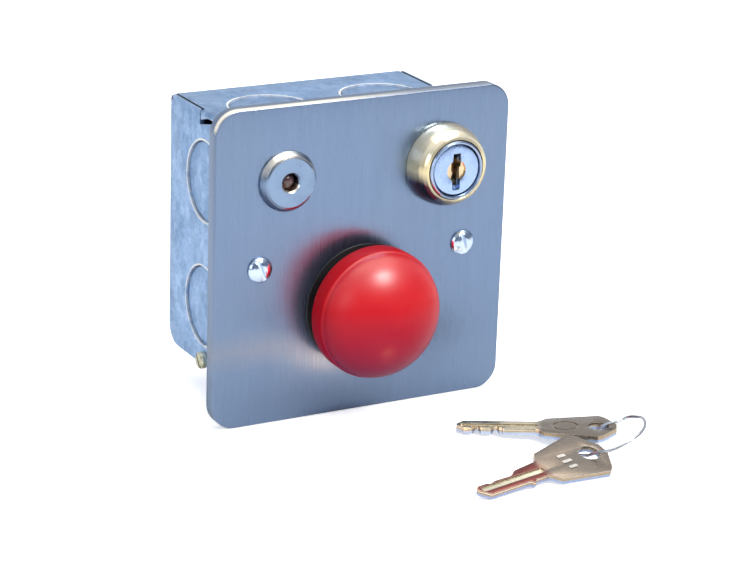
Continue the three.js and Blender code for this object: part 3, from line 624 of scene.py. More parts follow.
def moulded(name, base, dark, rough=0.4, grain=0.12, coat=0.0, spec=0.5, under=None, rim=None):
    """Moulded plastic: fine grain, slight colour drift, rubbed edges; under is a painted shade given to faces turned
    down.
    """
    s = Mat(name)
    v = s.mapping((1, 1, 1))
    cloud = s.noise(v, 60, 4, 0.55)
    fine = s.noise(v, 3200, 3, 0.6)
    orange = s.noise(v, 420, 2, 0.5)
    colour = s.mix(s.maprange(cloud.outputs[0], 0.0, 0.7, 0.3, 0.75), base, dark)
    light = tuple(min(1.0, c * 1.25 + 0.02) for c in base[:3]) + (1.0,)
    if not rim:
        colour = s.mix(s.math("MULTIPLY", s.edges(0.0003), 0.35), colour, light)
    # painted shade: faces turned down take the under tone
    if under:
        geo = s.n("NewGeometry")
        ns = s.n("SeparateXYZ")
        s.link(geo.outputs["Normal"], ns.inputs[0])
        colour = s.mix(s.maprange(ns.outputs[2], 1.0, 0.0, -0.7, 0.3), colour, under)
    if rim:
        # the turned rim behind the dome is a duller tone; a painted glow, emission that only glossy rays see, stands in
        # for red light reflected in the plate
        pos = s.n("SeparateXYZ")
        s.link(v, pos.inputs[0])
        colour = s.mix(s.maprange(pos.outputs[1], 0.0, 0.5, (rim[0] - 0.25) * K, (rim[0] + 0.25) * K), colour, rim[1])
        s.link(colour, s.b.inputs["Emission Color"])
        painted_glow = s.math("MULTIPLY", s.n("LightPath").outputs["Is Glossy Ray"], s.maprange(ns.outputs[1], 2.6, 0.12, 0.1, 0.5))
        s.link(painted_glow, s.b.inputs["Emission Strength"])
        # painted shade on the faces turned back towards the plate
        colour = s.mix(s.maprange(ns.outputs[1], 0.0, 1.0, 0.4, 0.8), colour, srgb(64, 12, 26))
        on_rim = s.maprange(pos.outputs[1], 0.0, 1.0, (rim[0] - 0.2) * K, (rim[0] + 0.2) * K)
        spec_up = s.maprange(ns.outputs[2], 0.18, 1.0, 0.2, 0.6)
        s.link(s.math("MULTIPLY", spec_up, s.math("SUBTRACT", 1.0, s.math("MULTIPLY", on_rim, 0.85))), s.b.inputs["Specular IOR Level"])
    s.link(colour, s.b.inputs["Base Color"])
    s.set(Coat_Weight=coat, Coat_Roughness=0.3, Specular_IOR_Level=spec)
    s.link(s.maprange(fine.outputs[0], rough * 0.85, rough * 1.15, 0.3, 0.7), s.b.inputs["Roughness"])
    h = s.math("ADD", s.math("MULTIPLY", fine.outputs[0], 0.35), s.math("MULTIPLY", orange.outputs[0], 0.65))
    s.link(s.bump(h, grain, 0.00012), s.b.inputs["Normal"])
    return s.m


GALV = galvanised("galvanised_zinc")
GALV_BODY = galvanised("galvanised_body", [(0, 1, -16.4, -21.6), (0, 1, 17.0, -21.6)], True)
GALV_SIDE = galvanised("galvanised_side", [(1, 2, -21.6, 16.2), (1, 2, -21.6, -18.3)], True)
BRUSHED = brushed()
CHROME = plated("chrome_plate", srgb(230, 214, 172), srgb(208, 188, 134), 0.13, metallic=0.7, scratch=0.02, crown_highlight=srgb(252, 240, 208), under=srgb(58, 64, 84))
BEZEL = plated("bezel_nickel", srgb(130, 152, 180), srgb(116, 138, 168), 0.24, scratch=0.03, crown_highlight=srgb(252, 246, 232), under=srgb(100, 112, 134))
LOCKFACE = plated("lock_nickel", srgb(160, 176, 200), srgb(136, 152, 180), 0.2, scratch=0.04)
PLUG = plated("plug_nickel", srgb(164, 188, 224), srgb(146, 170, 208), 0.26, scratch=0.04, core=(LOCK[0], LOCK[2] - 0.2, 3.0, FACE_Y - 7.35))
ZINC = plated("zinc_plate", srgb(206, 214, 220), srgb(196, 190, 160), 0.26, scratch=0.04)
ZINC_B = plated("zinc_bright", srgb(206, 222, 240), srgb(176, 196, 220), 0.2, scratch=0.03)
ZINC_Y = plated("zinc_passivated", srgb(222, 220, 196), srgb(178, 170, 120), 0.26, metallic=0.85, scratch=0.04)
BRASS = plated("contact_brass", srgb(202, 166, 92), srgb(164, 124, 62), 0.26, scratch=0.04)
KEY_A_MET = key_metal("key_a_nickel_silver", srgb(142, 128, 112), srgb(240, 226, 192), srgb(250, 240, 212), 0.9)
KEY_B_MET = key_metal("key_b_nickel_silver", srgb(158, 146, 134), srgb(132, 74, 70), srgb(255, 246, 216), 0.25)
SPRING = plated("spring_steel", srgb(190, 194, 200), srgb(160, 162, 166), 0.2, scratch=0.03)
RED = moulded("red_plastic", srgb(200, 24, 28), srgb(184, 20, 32), 0.36, 0.04, coat=0.0, spec=0.5, under=srgb(116, 2, 54), rim=(FACE_Y - 10.55, srgb(166, 12, 24)))
BLACK = moulded("black_plastic", srgb(30, 31, 33), srgb(18, 18, 20), 0.45, 0.15)
GREY = moulded("grey_plastic", srgb(126, 129, 134), srgb(108, 110, 116), 0.45, 0.15)
RUBBER = moulded("gasket_rubber", srgb(26, 26, 27), srgb(18, 18, 18), 0.8, 0.25)
LENS = moulded("lamp_tint", srgb(92, 62, 58), srgb(54, 34, 34), 0.12, 0.02, coat=0.6)
W_RED = moulded("wire_red", srgb(176, 36, 30), srgb(150, 28, 24), 0.5, 0.08)
W_BLACK = moulded("wire_black", srgb(28, 28, 29), srgb(20, 20, 20), 0.5, 0.08)
W_BLUE = moulded("wire_blue", srgb(38, 84, 168), srgb(30, 66, 140), 0.5, 0.08)


def done(o, material, body, slot, *nodes, angle=32, soft=None):
    o.data.materials.clear()
    o.data.materials.append(material)
    if angle:
        shade(o, angle)
    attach(o, body)
    if nodes:
        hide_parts(*nodes)
    return o


# ---------------------------------------------------------------- faceplate
def make_faceplate():
    n = 14
    R = 6.5
    fr = 0.5  # the drawn front edge
    rings = []
    def ring(inset, y, r):
        w = PLATE - 2 * inset
        rings.append([(u, y, v) for u, v in round_rect(0, PLATE_Z, w, w, max(r, 0.3), n)])
    # inside of the pan, from its face out to the rim, then round the rim and up the outside
    ri = 0.6
    ring(PLATE_T + ri, IN_Y, R - PLATE_T - ri)
    for k in range(1, 5):
        a = math.pi / 2 * k / 4
        ring(PLATE_T + ri * (1 - math.sin(a)), IN_Y + ri * (1 - math.cos(a)), R - PLATE_T - ri * (1 - math.sin(a)))
    ring(PLATE_T, RIM_Y - 0.25, R - PLATE_T)
    ring(PLATE_T - 0.08, RIM_Y - 0.07, R - PLATE_T + 0.08)
    ring(PLATE_T - 0.25, RIM_Y, R - PLATE_T + 0.25)
    ring(0.25, RIM_Y, R - 0.25)
    ring(0.08, RIM_Y - 0.07, R - 0.08)
    ring(0, RIM_Y - 0.25, R)
    ring(0, FACE_Y + fr, R)
    for k in range(1, 7):
        a = math.pi / 2 * k / 6
        ring(fr * (1 - math.cos(a)), FACE_Y + fr * (1 - math.sin(a)), R - fr * (1 - math.cos(a)))
    m = len(rings[0])
    verts = [p for r in rings for p in r]
    faces = []
    for i in range(len(rings) - 1):
        for k in range(m):
            j = (k + 1) % m
            faces.append((i * m + k, i * m + j, (i + 1) * m + j, (i + 1) * m + k))
    faces.append(tuple(range(m)))
    faces.append(tuple((len(rings) - 1) * m + k for k in range(m - 1, -1, -1)))
    o = obj_from("faceplate_sheet", verts, faces)
    y0, y1 = FACE_Y - 2, IN_Y + 2
    boolean(
        o,
        [
            cyl("y", LAMP[0], LAMP[2], 5.2, y0, y1),
            cyl("y", LOCK[0], LOCK[2], 8.1, y0, y1),
            cyl("y", PUSH[0], PUSH[2], 11.2, y0, y1),
            cyl("y", SCR[0][0], SCR[0][2], 2.1, y0, y1, 32),
            cyl("y", SCR[1][0], SCR[1][2], 2.1, y0, y1, 32),
        ],
    )
    return done(o, BRUSHED, "station", "brushed_plate", "faceplate", angle=40)


make_faceplate()


# ---------------------------------------------------------------- box
def knockout(o, to3, u, v, a, b, push, turn=90):
    """A pre-punched disc: a ring slot through the sheet from a to b, the disc set back by push, held by two bridges."""
    cut = prism("t", circle(u, v, KO_R + 0.12, 72), to3, a - 1.5, b + 1.5)
    boolean(o, [cut])
    disc = prism("t", circle(u, v, KO_R - 0.2, 72), to3, a + push, b + push)
    bevel(disc, 0.28, 3)
    tools = [disc]
    lo, hi = max(a, a + push) + 0.08, min(b, b + push) - 0.08
    for t in (turn, turn + 180):
        c, s = math.cos(math.radians(t)), math.sin(math.radians(t))
        r0, r1, w = KO_R - 1.0, KO_R + 0.9, 1.0
        pts = [
            (u + c * r0 - s * w, v + s * r0 + c * w),
            (u + c * r0 + s * w, v + s * r0 - c * w),
            (u + c * r1 + s * w, v + s * r1 - c * w),
            (u + c * r1 - s * w, v + s * r1 + c * w),
        ]
        tools.append(prism("t", pts, to3, lo, hi))
    boolean(o, tools, "UNION")
    return o


def make_box():
    side_in = H - WALL - 0.3
    outer = (
        [(BOX_FRONT, H)]
        + [(-1.4, H)]
        + arc(-1.4, H - 1.4, 1.4, 90, 0, 6)[1:]
        + arc(-BEND_R, -H + BEND_R, BEND_R, 0, -90, 12)
        + [(BOX_FRONT, -H), (BOX_FRONT, -H + WALL)]
        + arc(-BEND_R, -H + BEND_R, BEND_R - WALL, -90, 0, 12)
        + [(-WALL, H - WALL - 0.3), (-WALL - 0.3, H - WALL), (BOX_FRONT, H - WALL)]
    )
    o = prism("box_body_sheet", outer, YZ, -side_in, side_in)
    # the front strip of the top runs over the side plates and folds down as a hook
    r = 1.1
    for s in (-1, 1):
        a, b = (-H, -side_in + 0.2) if s < 0 else (side_in - 0.2, H)
        strip = prism("t", [(-18.7, H), (-18.7, 32.3), (-23.4, 33.7), (BOX_FRONT, 33.7), (BOX_FRONT, H)], YZ, a, b)
        corner = [(s * (H + 1), H + 1), (s * (H + 1), H - r)] + arc(s * (H - r), H - r, r, 0 if s > 0 else 180, 90, 8) + [(s * (H - r), H + 1)]
        boolean(strip, [prism("t", corner, XZ, BOX_FRONT - 1, -17), block(-H - 1, H + 1, -18.85, -17, H - 4, H - 1.3)])
        boolean(o, [strip], "UNION")
    lips = []
    for s in (-1, 1):
        c, d = sorted((s * side_in, s * (side_in - 1.4)))
        lips.append(block(c, d, -27.5, -18.5, -H + 0.4, -29.5))
    boolean(o, lips, "UNION")
    for s in (-1, 1):
        a, b = sorted((s * (side_in - 0.2), s * (H - 1.25)))
        lap = [(-18.4, H)] + [(-1.4, H)] + arc(-1.4, H - 1.4, 1.4, 90, 25, 5)[1:] + [(-0.3, H - 1.2), (-18.4, H - 1.2)]
        boolean(o, [prism("t", lap, YZ, a, b)], "UNION")
    boolean(
        o,
        [
            cyl("x", SIDE_SCR[0][1], SIDE_SCR[0][2], 1.25, -side_in - 2, -side_in + 3.4, 24),
            cyl("x", SIDE_SCR[0][1], SIDE_SCR[0][2], 1.25, side_in - 3.4, side_in + 2, 24),
            cyl("y", -25, 12, 2.6, -3, 1, 40),
            cyl("y", 25, 12, 2.6, -3, 1, 40),
            cyl("y", 20, -22, 1.7, -3, 1, 32),
        ],
    )
    for x in (-16.4, 17.0):
        knockout(o, XY, x, -21.6, H - WALL, H, -0.6)
        knockout(o, XY, x, -21.6, -H, -H + WALL, 0.6)
    knockout(o, XZ, 0, -18, -WALL, 0, -0.3)
    bevel(o, 0.16, 2, 40)
    return done(o, GALV_BODY, "station", "galvanised_sheet", "box_body")


make_box()


def make_side(s, name, node):
    a, b = (-H, -H + WALL) if s < 0 else (H - WALL, H)
    pts = (
        [(0, H - 1.6), (-0.5, H - 0.6), (-1.8, H), (-18.15, H), (-18.15, 30.9), (-26.4, 32.9), (BOX_FRONT, 32.9), (BOX_FRONT, -H)]
        + arc(-BEND_R, -H + BEND_R, BEND_R, -90, 0, 12)
    )
    o = prism(name, pts, YZ, a, b)
    c, d = sorted((s * (H - 0.62), s * (H - WALL - 1)))
    boolean(o, [block(c, d, -19, 1, H - 1.6, H + 1)])
    for z in (16.2, -18.3):
        knockout(o, YZ, -21.6, z, a, b, -0.6 * s)
    y, z = SIDE_SCR[0][1], SIDE_SCR[0][2]
    boolean(o, [block(a - 1, b + 1, y - 1.5, y + 1.5, -H - 1, z), cyl("x", y, z, 1.5, a - 1, b + 1, 32)])
    bevel(o, 0.2, 2, 40)
    return done(o, GALV_SIDE, "station", "galvanised_sheet", node)


make_side(-1, "left_side_sheet", "left_side_plate")
make_side(1, "right_side_sheet", "right_side_plate")


def make_side_screw(s, name, node):
    y, z = SIDE_SCR[0][1], SIDE_SCR[0][2]
    x1, x2, x3 = s * (H + 0.05), s * (H + 1.9), s * (H - 4.2)
    prof = rounded([(0, x2), (1.7, x2), (2.3, x2 - s * 0.55), (2.3, x1), (1.1, x1), (1.1, x3), (0, x3)], 0.3, 3)
    verts, rings, seg = [], [], 40
    for r, x in prof:
        if r < 1e-6:
            rings.append([len(verts)] * seg)
            verts.append((x, y, z))
        else:
            rings.append(list(range(len(verts), len(verts) + seg)))
            verts += [(x, y + r * math.cos(2 * math.pi * i / seg), z + r * math.sin(2 * math.pi * i / seg)) for i in range(seg)]
    faces = []
    for p, q in zip(rings, rings[1:]):
        for i in range(seg):
            j = (i + 1) % seg
            f = []
            for k in (p[i], p[j], q[j], q[i]):
                if k not in f:
                    f.append(k)
            if len(f) > 2:
                faces.append(tuple(f))
    o = obj_from(name, verts, faces)
    c = block(-0.6, 0.6, -3.2, 3.2, -0.42, 0.42)
    c.data.transform(Matrix.Translation(Vector((s * (H + 1.9), y, z)) * K) @ Matrix.Rotation((-1 if s < 0 else 1) * -0.95, 4, "X"))
    boolean(o, [c])
    return done(o, ZINC_Y, "station", "zinc_screws", node)


make_side_screw(-1, "left_side_screw_head", "left_side_screw")
make_side_screw(1, "right_side_screw_head", "right_side_screw")


def make_plate_screw(i, name, node, turn):
    x, z = SCR[i][0], SCR[i][2]
    prof = [(0, 1.78), (0.8, 1.75), (1.6, 1.62), (2.4, 1.32), (3.0, 0.95), (3.4, 0.5), (3.5, 0.25), (3.44, 0.06), (1.6, 0.05), (1.6, -9.2), (1.2, -9.5), (0, -9.5)]
    o = lathe(name, x, z, rounded(prof, 0.15, 3), 56)
    c = block(-4, 4, -0.75, 0.75, -0.48, 0.48)
    c.data.transform(Matrix.Translation(Vector((x, FACE_Y - 1.7, z)) * K) @ Matrix.Rotation(turn, 4, "Y"))
    boolean(o, [c])
    bevel(o, 0.07, 2, 50)
    return done(o, ZINC_B, "station", "zinc_screws", node)


make_plate_screw(0, "left_plate_screw_head", "plate_screw_left", 1.2)
make_plate_screw(1, "right_plate_screw_head", "plate_screw_right", 1.3)

# ---------------------------------------------------------------- lamp
o = lathe(
    "lamp_bezel_ring",
    LAMP[0],
    LAMP[2],
    rounded(
        [(2.3, -16), (2.3, 1.9), (2.75, 2.4), (6.5, 2.4), (7.15, 2.1), (7.6, 1.4), (8.1, 0.55), (8.1, 0.06), (5.0, 0.06), (5.0, -16)],
        0.18,
        4,
        closed=True,
    ),
    112,
)
done(o, BEZEL, "station", "chrome_trim", "lamp_bezel")
o = lathe(
    "lamp_lens_dome",
    LAMP[0],
    LAMP[2],
    [(0, 1.25), (0.45, 1.2), (0.9, 1.08), (1.35, 0.84), (1.7, 0.5), (1.98, 0.05), (2.12, -0.5), (2.15, -1.1), (2.15, -8.8), (2.0, -9.0), (0, -9)],
    64,
)
done(o, LENS, "station", "lamp_lens", "lamp_lens")

# ---------------------------------------------------------------- lock
o = lathe(
    "lock_collar_ring",
    LOCK[0],
    LOCK[2],
    rounded(
        [(8.0, 0.06), (8.0, 7.2), (8.2, 7.5), (8.8, 7.3), (9.5, 6.6), (10.15, 5.4), (10.7, 3.8), (11.0, 2.2), (11.1, 1.0), (11.0, 0.06)],
        0.12,
        3,
        closed=True,
    ),
    128,
)
done(o, CHROME, "station", "chrome_trim", "lock_collar")
o = lathe(
    "lock_barrel",
    LOCK[0],
    LOCK[2],
    rounded(
        [(7.0, 7.4), (7.12, 7.85), (7.5, 7.95), (7.85, 7.6), (7.85, -1.6), (10.3, -1.6), (10.3, -4.2), (9.2, -4.2), (9.2, -21.5), (7.0, -21.5)],
        0.12,
        3,
        closed=True,
    ),
    112,
)
done(o, LOCKFACE, "station", "chrome_trim", "lock_body")


def make_plug():
    x, z = LOCK[0], LOCK[2]
    o = lathe(
        "lock_plug_barrel",
        x,
        z,
        [(0, 7.6), (6.2, 7.6), (6.6, 7.5), (6.78, 7.25), (6.8, 6.0), (6.92, 5.8), (6.92, -20.4), (6.7, -20.6), (4.0, -20.6), (4.0, -21.4), (0, -21.4)],
        96,
    )
    tail = block(x - 2.2, x + 2.2, FACE_Y + 21, FACE_Y + 25.3, z - 2.2, z + 2.2)
    boolean(o, [tail], "UNION")
    # dished entry and the keyway with its side ward
    dish = lathe("t", x, z - 0.2, [(0, 9), (2.85, 9), (2.8, 7.55), (2.55, 6.9), (0, 6.75)], 64)
    mouth = prism("t", round_rect(x, z - 0.8, 2.4, 8.9, 0.5, 4), XZ, FACE_Y - 9, FACE_Y - 6.1)
    key = prism(
        "t",
        [
            (x - 1.1, z + 4.5), (x + 1.1, z + 4.5), (x + 1.1, z + 1.9), (x + 1.6, z + 1.9),
            (x + 1.6, z + 0.7), (x + 1.1, z + 0.7), (x + 1.1, z - 4.5), (x - 1.1, z - 4.5),
            (x - 1.1, z - 1.8), (x - 0.45, z - 1.8), (x - 0.45, z - 0.6), (x - 1.1, z - 0.6),
        ],
        XZ,
        FACE_Y - 10,
        FACE_Y + 17,
    )
    boolean(o, [dish, mouth, key])
    slots = []
    for i in range(5):
        y = FACE_Y - 3.2 + i * 3.4
        slots.append(block(x - 2.85, x + 2.85, y - 0.7, y + 0.7, z - 8, z + 8))
    boolean(o, slots)
    bevel(o, 0.12, 2, 45)
    return done(o, PLUG, "key_plug", "nickel_lock", "lock_plug")


make_plug()

# ---------------------------------------------------------------- mushroom button
dome = [(0, 21.0)]
for i in range(1, 29):
    a = math.pi / 2 * i / 28
    dome.append((17.05 * math.sin(a) ** 1.13, 11.0 + 10.0 * max(0.0, math.cos(a)) ** 1.15))
dome += [(17.2, 10.84), (17.34, 10.66), (17.45, 10.42), (17.53, 10.14), (17.58, 9.9)]
head = dome + [(17.6, 9.7), (17.6, 5.9), (17.54, 5.5), (17.38, 5.2), (17.1, 5.1), (13.8, 5.1), (13.6, 5.3), (13.6, 9.2), (13.4, 9.4), (0, 9.5)]
o = lathe("button_head_dome", PUSH[0], PUSH[2], head, 144)
done(o, RED, "push_button", "red_button", "button_head", angle=50)
# the black flange reaches out to r 16.6 behind the head: partly the real collar, partly a dark ring put where shade and
# the head's dark reflection fall
o = lathe(
    "button_bushing_ring",
    PUSH[0],
    PUSH[2],
    rounded(
        [(4.15, -14.3), (4.15, -4.4), (6.4, -4.4), (6.4, 4.6), (11.0, 4.6), (11.4, 4.2), (11.4, 0.75), (16.4, 0.6), (16.6, 0.36), (10.9, 0.36), (10.9, -14.3)],
        0.15,
        3,
        closed=True,
    ),
    96,
)
done(o, BLACK, "station", "black_moulding", "button_bushing")


def helix(x, z, r, y0, y1, turns, steps):
    out = []
    for i in range(steps + 1):
        t = i / steps
        a = t * turns * 2 * math.pi
        s = t * 0.35 if t < 0.12 else (1 - (1 - t) * 0.35 if t > 0.88 else 0.042 + (t - 0.12) * (0.916 / 0.76))
        out.append((x + r * math.cos(a), y0 + (y1 - y0) * s, z + r * math.sin(a)))
    return out


o = tube("return_spring_coil", helix(PUSH[0], PUSH[2], 5.25, FACE_Y - 8.75, FACE_Y + 3.7, 5.5, 200), 0.5, 12)
done(o, SPRING, "station", "spring_wire", "return_spring", angle=60)
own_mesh(o)
y0 = FACE_Y + 14.6
o = tube("contact_spring_coil", helix(PUSH[0], PUSH[2], 3.0, y0 + 13.3, FACE_Y + 37.5 - 2.7, 4.5, 160), 0.32, 10)
done(o, SPRING, "station", "spring_wire", "contact_spring", angle=60)
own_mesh(o)

# ---------------------------------------------------------------- keys and wire ring
KEY_L, KEY_N, KEY_B, KEY_HOLE, KEY_T = 42.07, 20.9, 3.03, 37.18, 1.8
BOW = [(21.83, 3.6), (23.4, 5.83), (37.26, 8.71), (38.6, 7.6), (KEY_L, 1.84)]


def key_mesh(name, high, low, top, under, stamp):
    """Blank in its own frame: tip at x = 0, high edge then bow then low edge; grooves as (v0, v1) along the blade."""
    pts = list(high) + [(KEY_N, KEY_B)] + BOW
    pts += [(u, -v) for u, v in reversed(BOW)] + [(KEY_N, -KEY_B)] + list(low)
    o = prism(name, rounded(pts, 0.4, 3, closed=True), XY, 0, KEY_T)
    mid, wide = (top[0] + top[1]) / 2, top[1] - top[0]
    boolean(
        o,
        [
            cyl("z", KEY_HOLE, 0, 2.9, -1, KEY_T + 1, 56),
            prism("t", round_rect(11.2, mid, 20.4, wide, min(0.7, wide / 2 - 0.05), 6), XY, KEY_T - 0.48, KEY_T + 1),
            block(1.2, KEY_N, under[0], under[1], -1, 0.4),
        ],
    )
    bevel(o, 0.2, 3, 40)
    tools, op = stamp
    boolean(o, tools, op)
    at = o.data.attributes.new("local", "FLOAT_VECTOR", "POINT")
    flat = []
    for v in o.data.vertices:
        flat += [c / K for c in v.co]
    at.data.foreach_set("vector", flat)
    return o


def key_pose(x, y, z, heading, pitch, lean):
    r = math.radians
    return (
        Matrix.Translation(Vector((x, y, z)) * K)
        @ Matrix.Rotation(r(heading), 4, "Z")
        @ Matrix.Rotation(-r(pitch), 4, "Y")
        @ Matrix.Rotation(r(lean), 4, "X")
    )


ring = prism("t", circle(28.6, 0, 3.5, 56), XY, KEY_T - 0.22, KEY_T + 0.5)
boolean(ring, [prism("t", circle(28.6, 0, 2.9, 56), XY, KEY_T - 0.4, KEY_T + 0.8)])
o = key_mesh(
    "key_a_blank",
    [(0, 0.4), (1.6, KEY_B)],
    [(12.4, -3.03), (12.0, -2.3), (11.5, -2.3), (10.8, -1.3), (9.9, -1.3), (9.2, -2.3), (6.6, -2.3), (5.9, -1.1), (5.0, -1.1), (4.3, -2.3), (2.2, -2.3), (0.2, -0.6)],
    (-1.15, 0.85),
    (-1.7, -0.4),
    ([ring], "DIFFERENCE"),
)
o.data.transform(key_pose(15.7, -70.86, FLOOR_Z + 0.3, -33.54, 3.1, -3.44))
done(o, KEY_A_MET, "first_key", "key_nickel", "key_a", angle=38)
bars = [prism("t", round_rect(29.3, v, w, 1.05, 0.45, 5), XY, KEY_T - 0.3, KEY_T + 0.16) for v, w in ((1.9, 2.6), (-0.5, 3.0), (-2.9, 2.6))]
o = key_mesh(
    "key_b_blank",
    [(0, 0.4), (0.8, 1.0), (3.6, 1.0), (4.4, 0.6), (5.2, 0.6), (6.0, 1.0), (11.6, 0.9), (13.8, 2.3)],
    [(16.6, -3.03), (16.2, -3.9), (15.4, -3.9), (15.0, -3.03), (2.2, -3.03), (0.2, -0.6)],
    (-1.5, 0.4),
    (-1.7, -0.4),
    (bars, "UNION"),
)
o.data.transform(key_pose(-1.86, -111.19, FLOOR_Z + 0.93, 10.02, 1.83, 13.71))
done(o, KEY_B_MET, "second_key", "key_nickel", "key_b", angle=38)

# one loop of wire through both holes, its ends butting together under the bows
ring_pts = [
    (38.95, -93.7, -43.95), (41.5, -92.8, -43.75), (43.8, -92.15, -43.1), (45.45, -91.7, -42.3), (46.64, -91.3, -41.3),
    (47.4, -91.95, -40.3), (48.9, -93.0, -39.4), (50.45, -94.0, -38.85), (52.3, -94.1, -38.35), (53.5, -95.0, -37.6),
    (53.95, -97.5, -36.7), (53.75, -100.2, -35.9), (52.5, -103.5, -35.3), (49.8, -107.6, -35.1), (46.8, -110.2, -35.35),
    (44.0, -111.2, -36.1), (41.0, -111.2, -37.3), (38.0, -110.3, -38.6), (36.3, -108.7, -39.4), (35.3, -106.9, -40.3),
    (34.74, -104.94, -41.5), (34.62, -103.5, -42.0), (34.6, -101.9, -42.6), (34.85, -99.4, -43.35), (36.0, -96.2, -43.85), (38.5, -93.98, -43.95),
]
o = tube("key_ring_wire", catmull(ring_pts, 10), 0.42, 14)
done(o, SPRING, "ring_wire", "spring_wire", "key_ring", angle=60)

# ---------------------------------------------------------------- carried-over CAD nodes
CAD_LOOK = {
    "left_lug": GALV, "right_lug": GALV, "lamp_washer": ZINC, "lamp_nut": ZINC,
    "lamp_lead_red": W_RED, "lamp_lead_black": W_BLACK,
    "wafer_1": BRASS, "wafer_2": BRASS, "wafer_3": BRASS, "wafer_4": BRASS, "wafer_5": BRASS,
    "switch_housing": BLACK, "switch_rotor": GREY, "switch_wiper": BRASS,
    "switch_terminal_left": BRASS, "switch_terminal_right": BRASS,
    "switch_screw_left": ZINC, "switch_screw_right": ZINC,
    "button_gasket": RUBBER, "button_nut": GREY, "button_stem": GREY,
    "contact_block": BLACK, "contact_plunger": RED, "contact_bridge": BRASS,
    "fixed_contact_left": BRASS, "fixed_contact_right": BRASS,
    "terminal_screw_left": ZINC, "terminal_screw_right": ZINC,
    "earth_terminal": BRASS, "earth_screw": ZINC, "link_wire": W_BLUE,
}
for name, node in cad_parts.items():
    if node.hide_render:
        continue
    look = CAD_LOOK.get(name, GREY)
    if not node.material_slots:
        node.data.materials.append(look)
    for ms in node.material_slots:
        ms.material = look
    m = node.modifiers.new("weld", "WELD")
    m.merge_threshold = 2e-6
    m = node.modifiers.new("edge", "BEVEL")
    m.width, m.segments, m.limit_method, m.angle_limit = 0.00009, 2, "ANGLE", math.radians(35)

# ---------------------------------------------------------------- stage
fz = FLOOR_Z * K
fl = bpy.data.meshes.new("floor")
S = 3.0
fl.from_pydata([(-S, -S, fz - 0.0001), (S, -S, fz - 0.0001), (S, S, fz - 0.0001), (-S, S, fz - 0.0001)], [], [(0, 1, 2, 3)])
floor = bpy.data.objects.new("floor", fl)
COL.objects.link(floor)
fm = Mat("pale_floor")
fn = fm.noise(fm.mapping((1, 1, 1)), 30, 3)
fm.link(fm.ramp(fn.outputs[0], [(0.3, (0.90, 0.91, 0.93, 1)), (0.7, (0.93, 0.935, 0.945, 1))]), fm.b.inputs["Base Color"])
fm.set(Roughness=0.65)
# the floor seen directly is lifted to white, as over a light table
path = fm.n("LightPath")
seen = path.outputs["Is Camera Ray"]
# and has a small warm pool of light under the button that only shows in reflections
fp = fm.n("SeparateXYZ")
fm.link(fm.mapping((1, 1, 1)), fp.inputs[0])
px = fm.math("SUBTRACT", fp.outputs[0], 0.006)
py = fm.math("SUBTRACT", fp.outputs[1], -0.080)
pool = fm.maprange(fm.math("SQRT", fm.math("ADD", fm.math("MULTIPLY", px, px), fm.math("MULTIPLY", py, py))), 1.0, 0.0, 0.001, 0.006)
pool = fm.math("MULTIPLY", pool, path.outputs["Is Glossy Ray"])
fm.link(fm.mix(path.outputs["Is Glossy Ray"], (1.0, 1.0, 1.0, 1.0), (1.0, 0.46, 0.16, 1.0)), fm.b.inputs["Emission Color"])
fm.link(fm.math("ADD", fm.math("MULTIPLY", seen, 0.55), fm.math("MULTIPLY", pool, 18.0)), fm.b.inputs["Emission Strength"])
fl.materials.append(fm.m)

world = bpy.data.worlds.new("studio")
bpy.context.scene.world = world
world.use_nodes = True
wn = world.node_tree
bg = wn.nodes["Background"]
# a white backdrop behind and above, a darker room in front
tc = wn.nodes.new("ShaderNodeTexCoord")
sep = wn.nodes.new("ShaderNodeSeparateXYZ")
wn.links.new(tc.outputs["Generated"], sep.inputs[0])


def wmath(op, *args):
    n = wn.nodes.new("ShaderNodeMath")
    n.operation = op
    for i, a in enumerate(args):
        if isinstance(a, (int, float)):
            n.inputs[i].default_value = a
        else:
            wn.links.new(a, n.inputs[i])
    return n.outputs[0]


def wrange(v, a, b, smooth=True):
    n = wn.nodes.new("ShaderNodeMapRange")
    n.interpolation_type = "SMOOTHSTEP" if smooth else "LINEAR"
    n.inputs["From Min"].default_value, n.inputs["From Max"].default_value = a, b
    wn.links.new(v, n.inputs["Value"])
    return n.outputs["Result"]


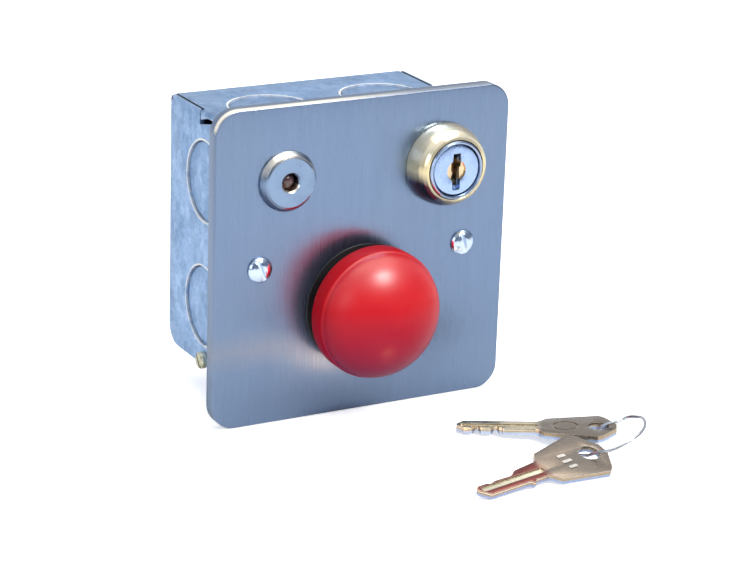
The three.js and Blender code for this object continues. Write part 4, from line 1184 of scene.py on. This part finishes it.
back = wrange(sep.outputs[1], -0.35, 0.35)
high = wrange(sep.outputs[2], 0.35, 0.85)
lit = wmath("MAXIMUM", back, wmath("MULTIPLY", high, 0.9))
mixn = wn.nodes.new("ShaderNodeMix")
mixn.data_type = "RGBA"
mixn.inputs[6].default_value = (0.16, 0.20, 0.28, 1)
mixn.inputs[7].default_value = (0.68, 0.71, 0.76, 1)
wn.links.new(lit, mixn.inputs[0])
wn.links.new(mixn.outputs[2], bg.inputs["Color"])
bg.inputs["Strength"].default_value = 1.0


def area(name, loc, target, size, power, color=(1, 1, 1)):
    l = bpy.data.lights.new(name, "AREA")
    l.shape, l.size, l.energy, l.color = "DISK", size, power, color
    ob = bpy.data.objects.new(name, l)
    ob.location = loc
    ob.rotation_mode = "QUATERNION"
    ob.rotation_quaternion = (Vector(loc) - Vector(target)).to_track_quat("Z", "Y")
    COL.objects.link(ob)
    return ob


aim = (0.0, -0.05, -0.01)
area("key_light", (0.23, -0.71, 0.74), (0.0, -0.06, -0.015), 0.32, 7.0, (1.0, 0.97, 0.95))
area("overhead", (0.12, 0.03, 0.88), (0.0, -0.05, 0.0), 1.1, 5.6, (1.0, 0.93, 0.80))
area("low_fill", (-0.75, -0.55, 0.25), (0.0, -0.05, -0.02), 0.5, 1.2, (0.86, 0.93, 1.0))

# ---------------------------------------------------------------- camera
M = (
    (0.8787420357521597, -0.4762063940787468, 0.03224755557662229),
    (-0.12622997253653423, -0.2970257148921522, -0.9464891540457459),
    (0.46030254033143886, 0.8276491979886909, -0.32112050142135257),
)
right, down, ahead = (Vector(r) for r in M)
cam = bpy.data.cameras.new("camera")
cam.sensor_width = 36
cam.lens = 2621.0852 * 36 / 752
cam.clip_start, cam.clip_end = 0.01, 20
co = bpy.data.objects.new("camera", cam)
rot = Matrix((right, -down, -ahead)).transposed()
co.matrix_world = Matrix.Translation(Vector((-315.1626, -574.3522 - 45.32, 214.9546 - 1.5)) * K) @ rot.to_4x4()
COL.objects.link(co)
bpy.context.scene.camera = co
bpy.context.scene.view_settings.view_transform = "Standard"
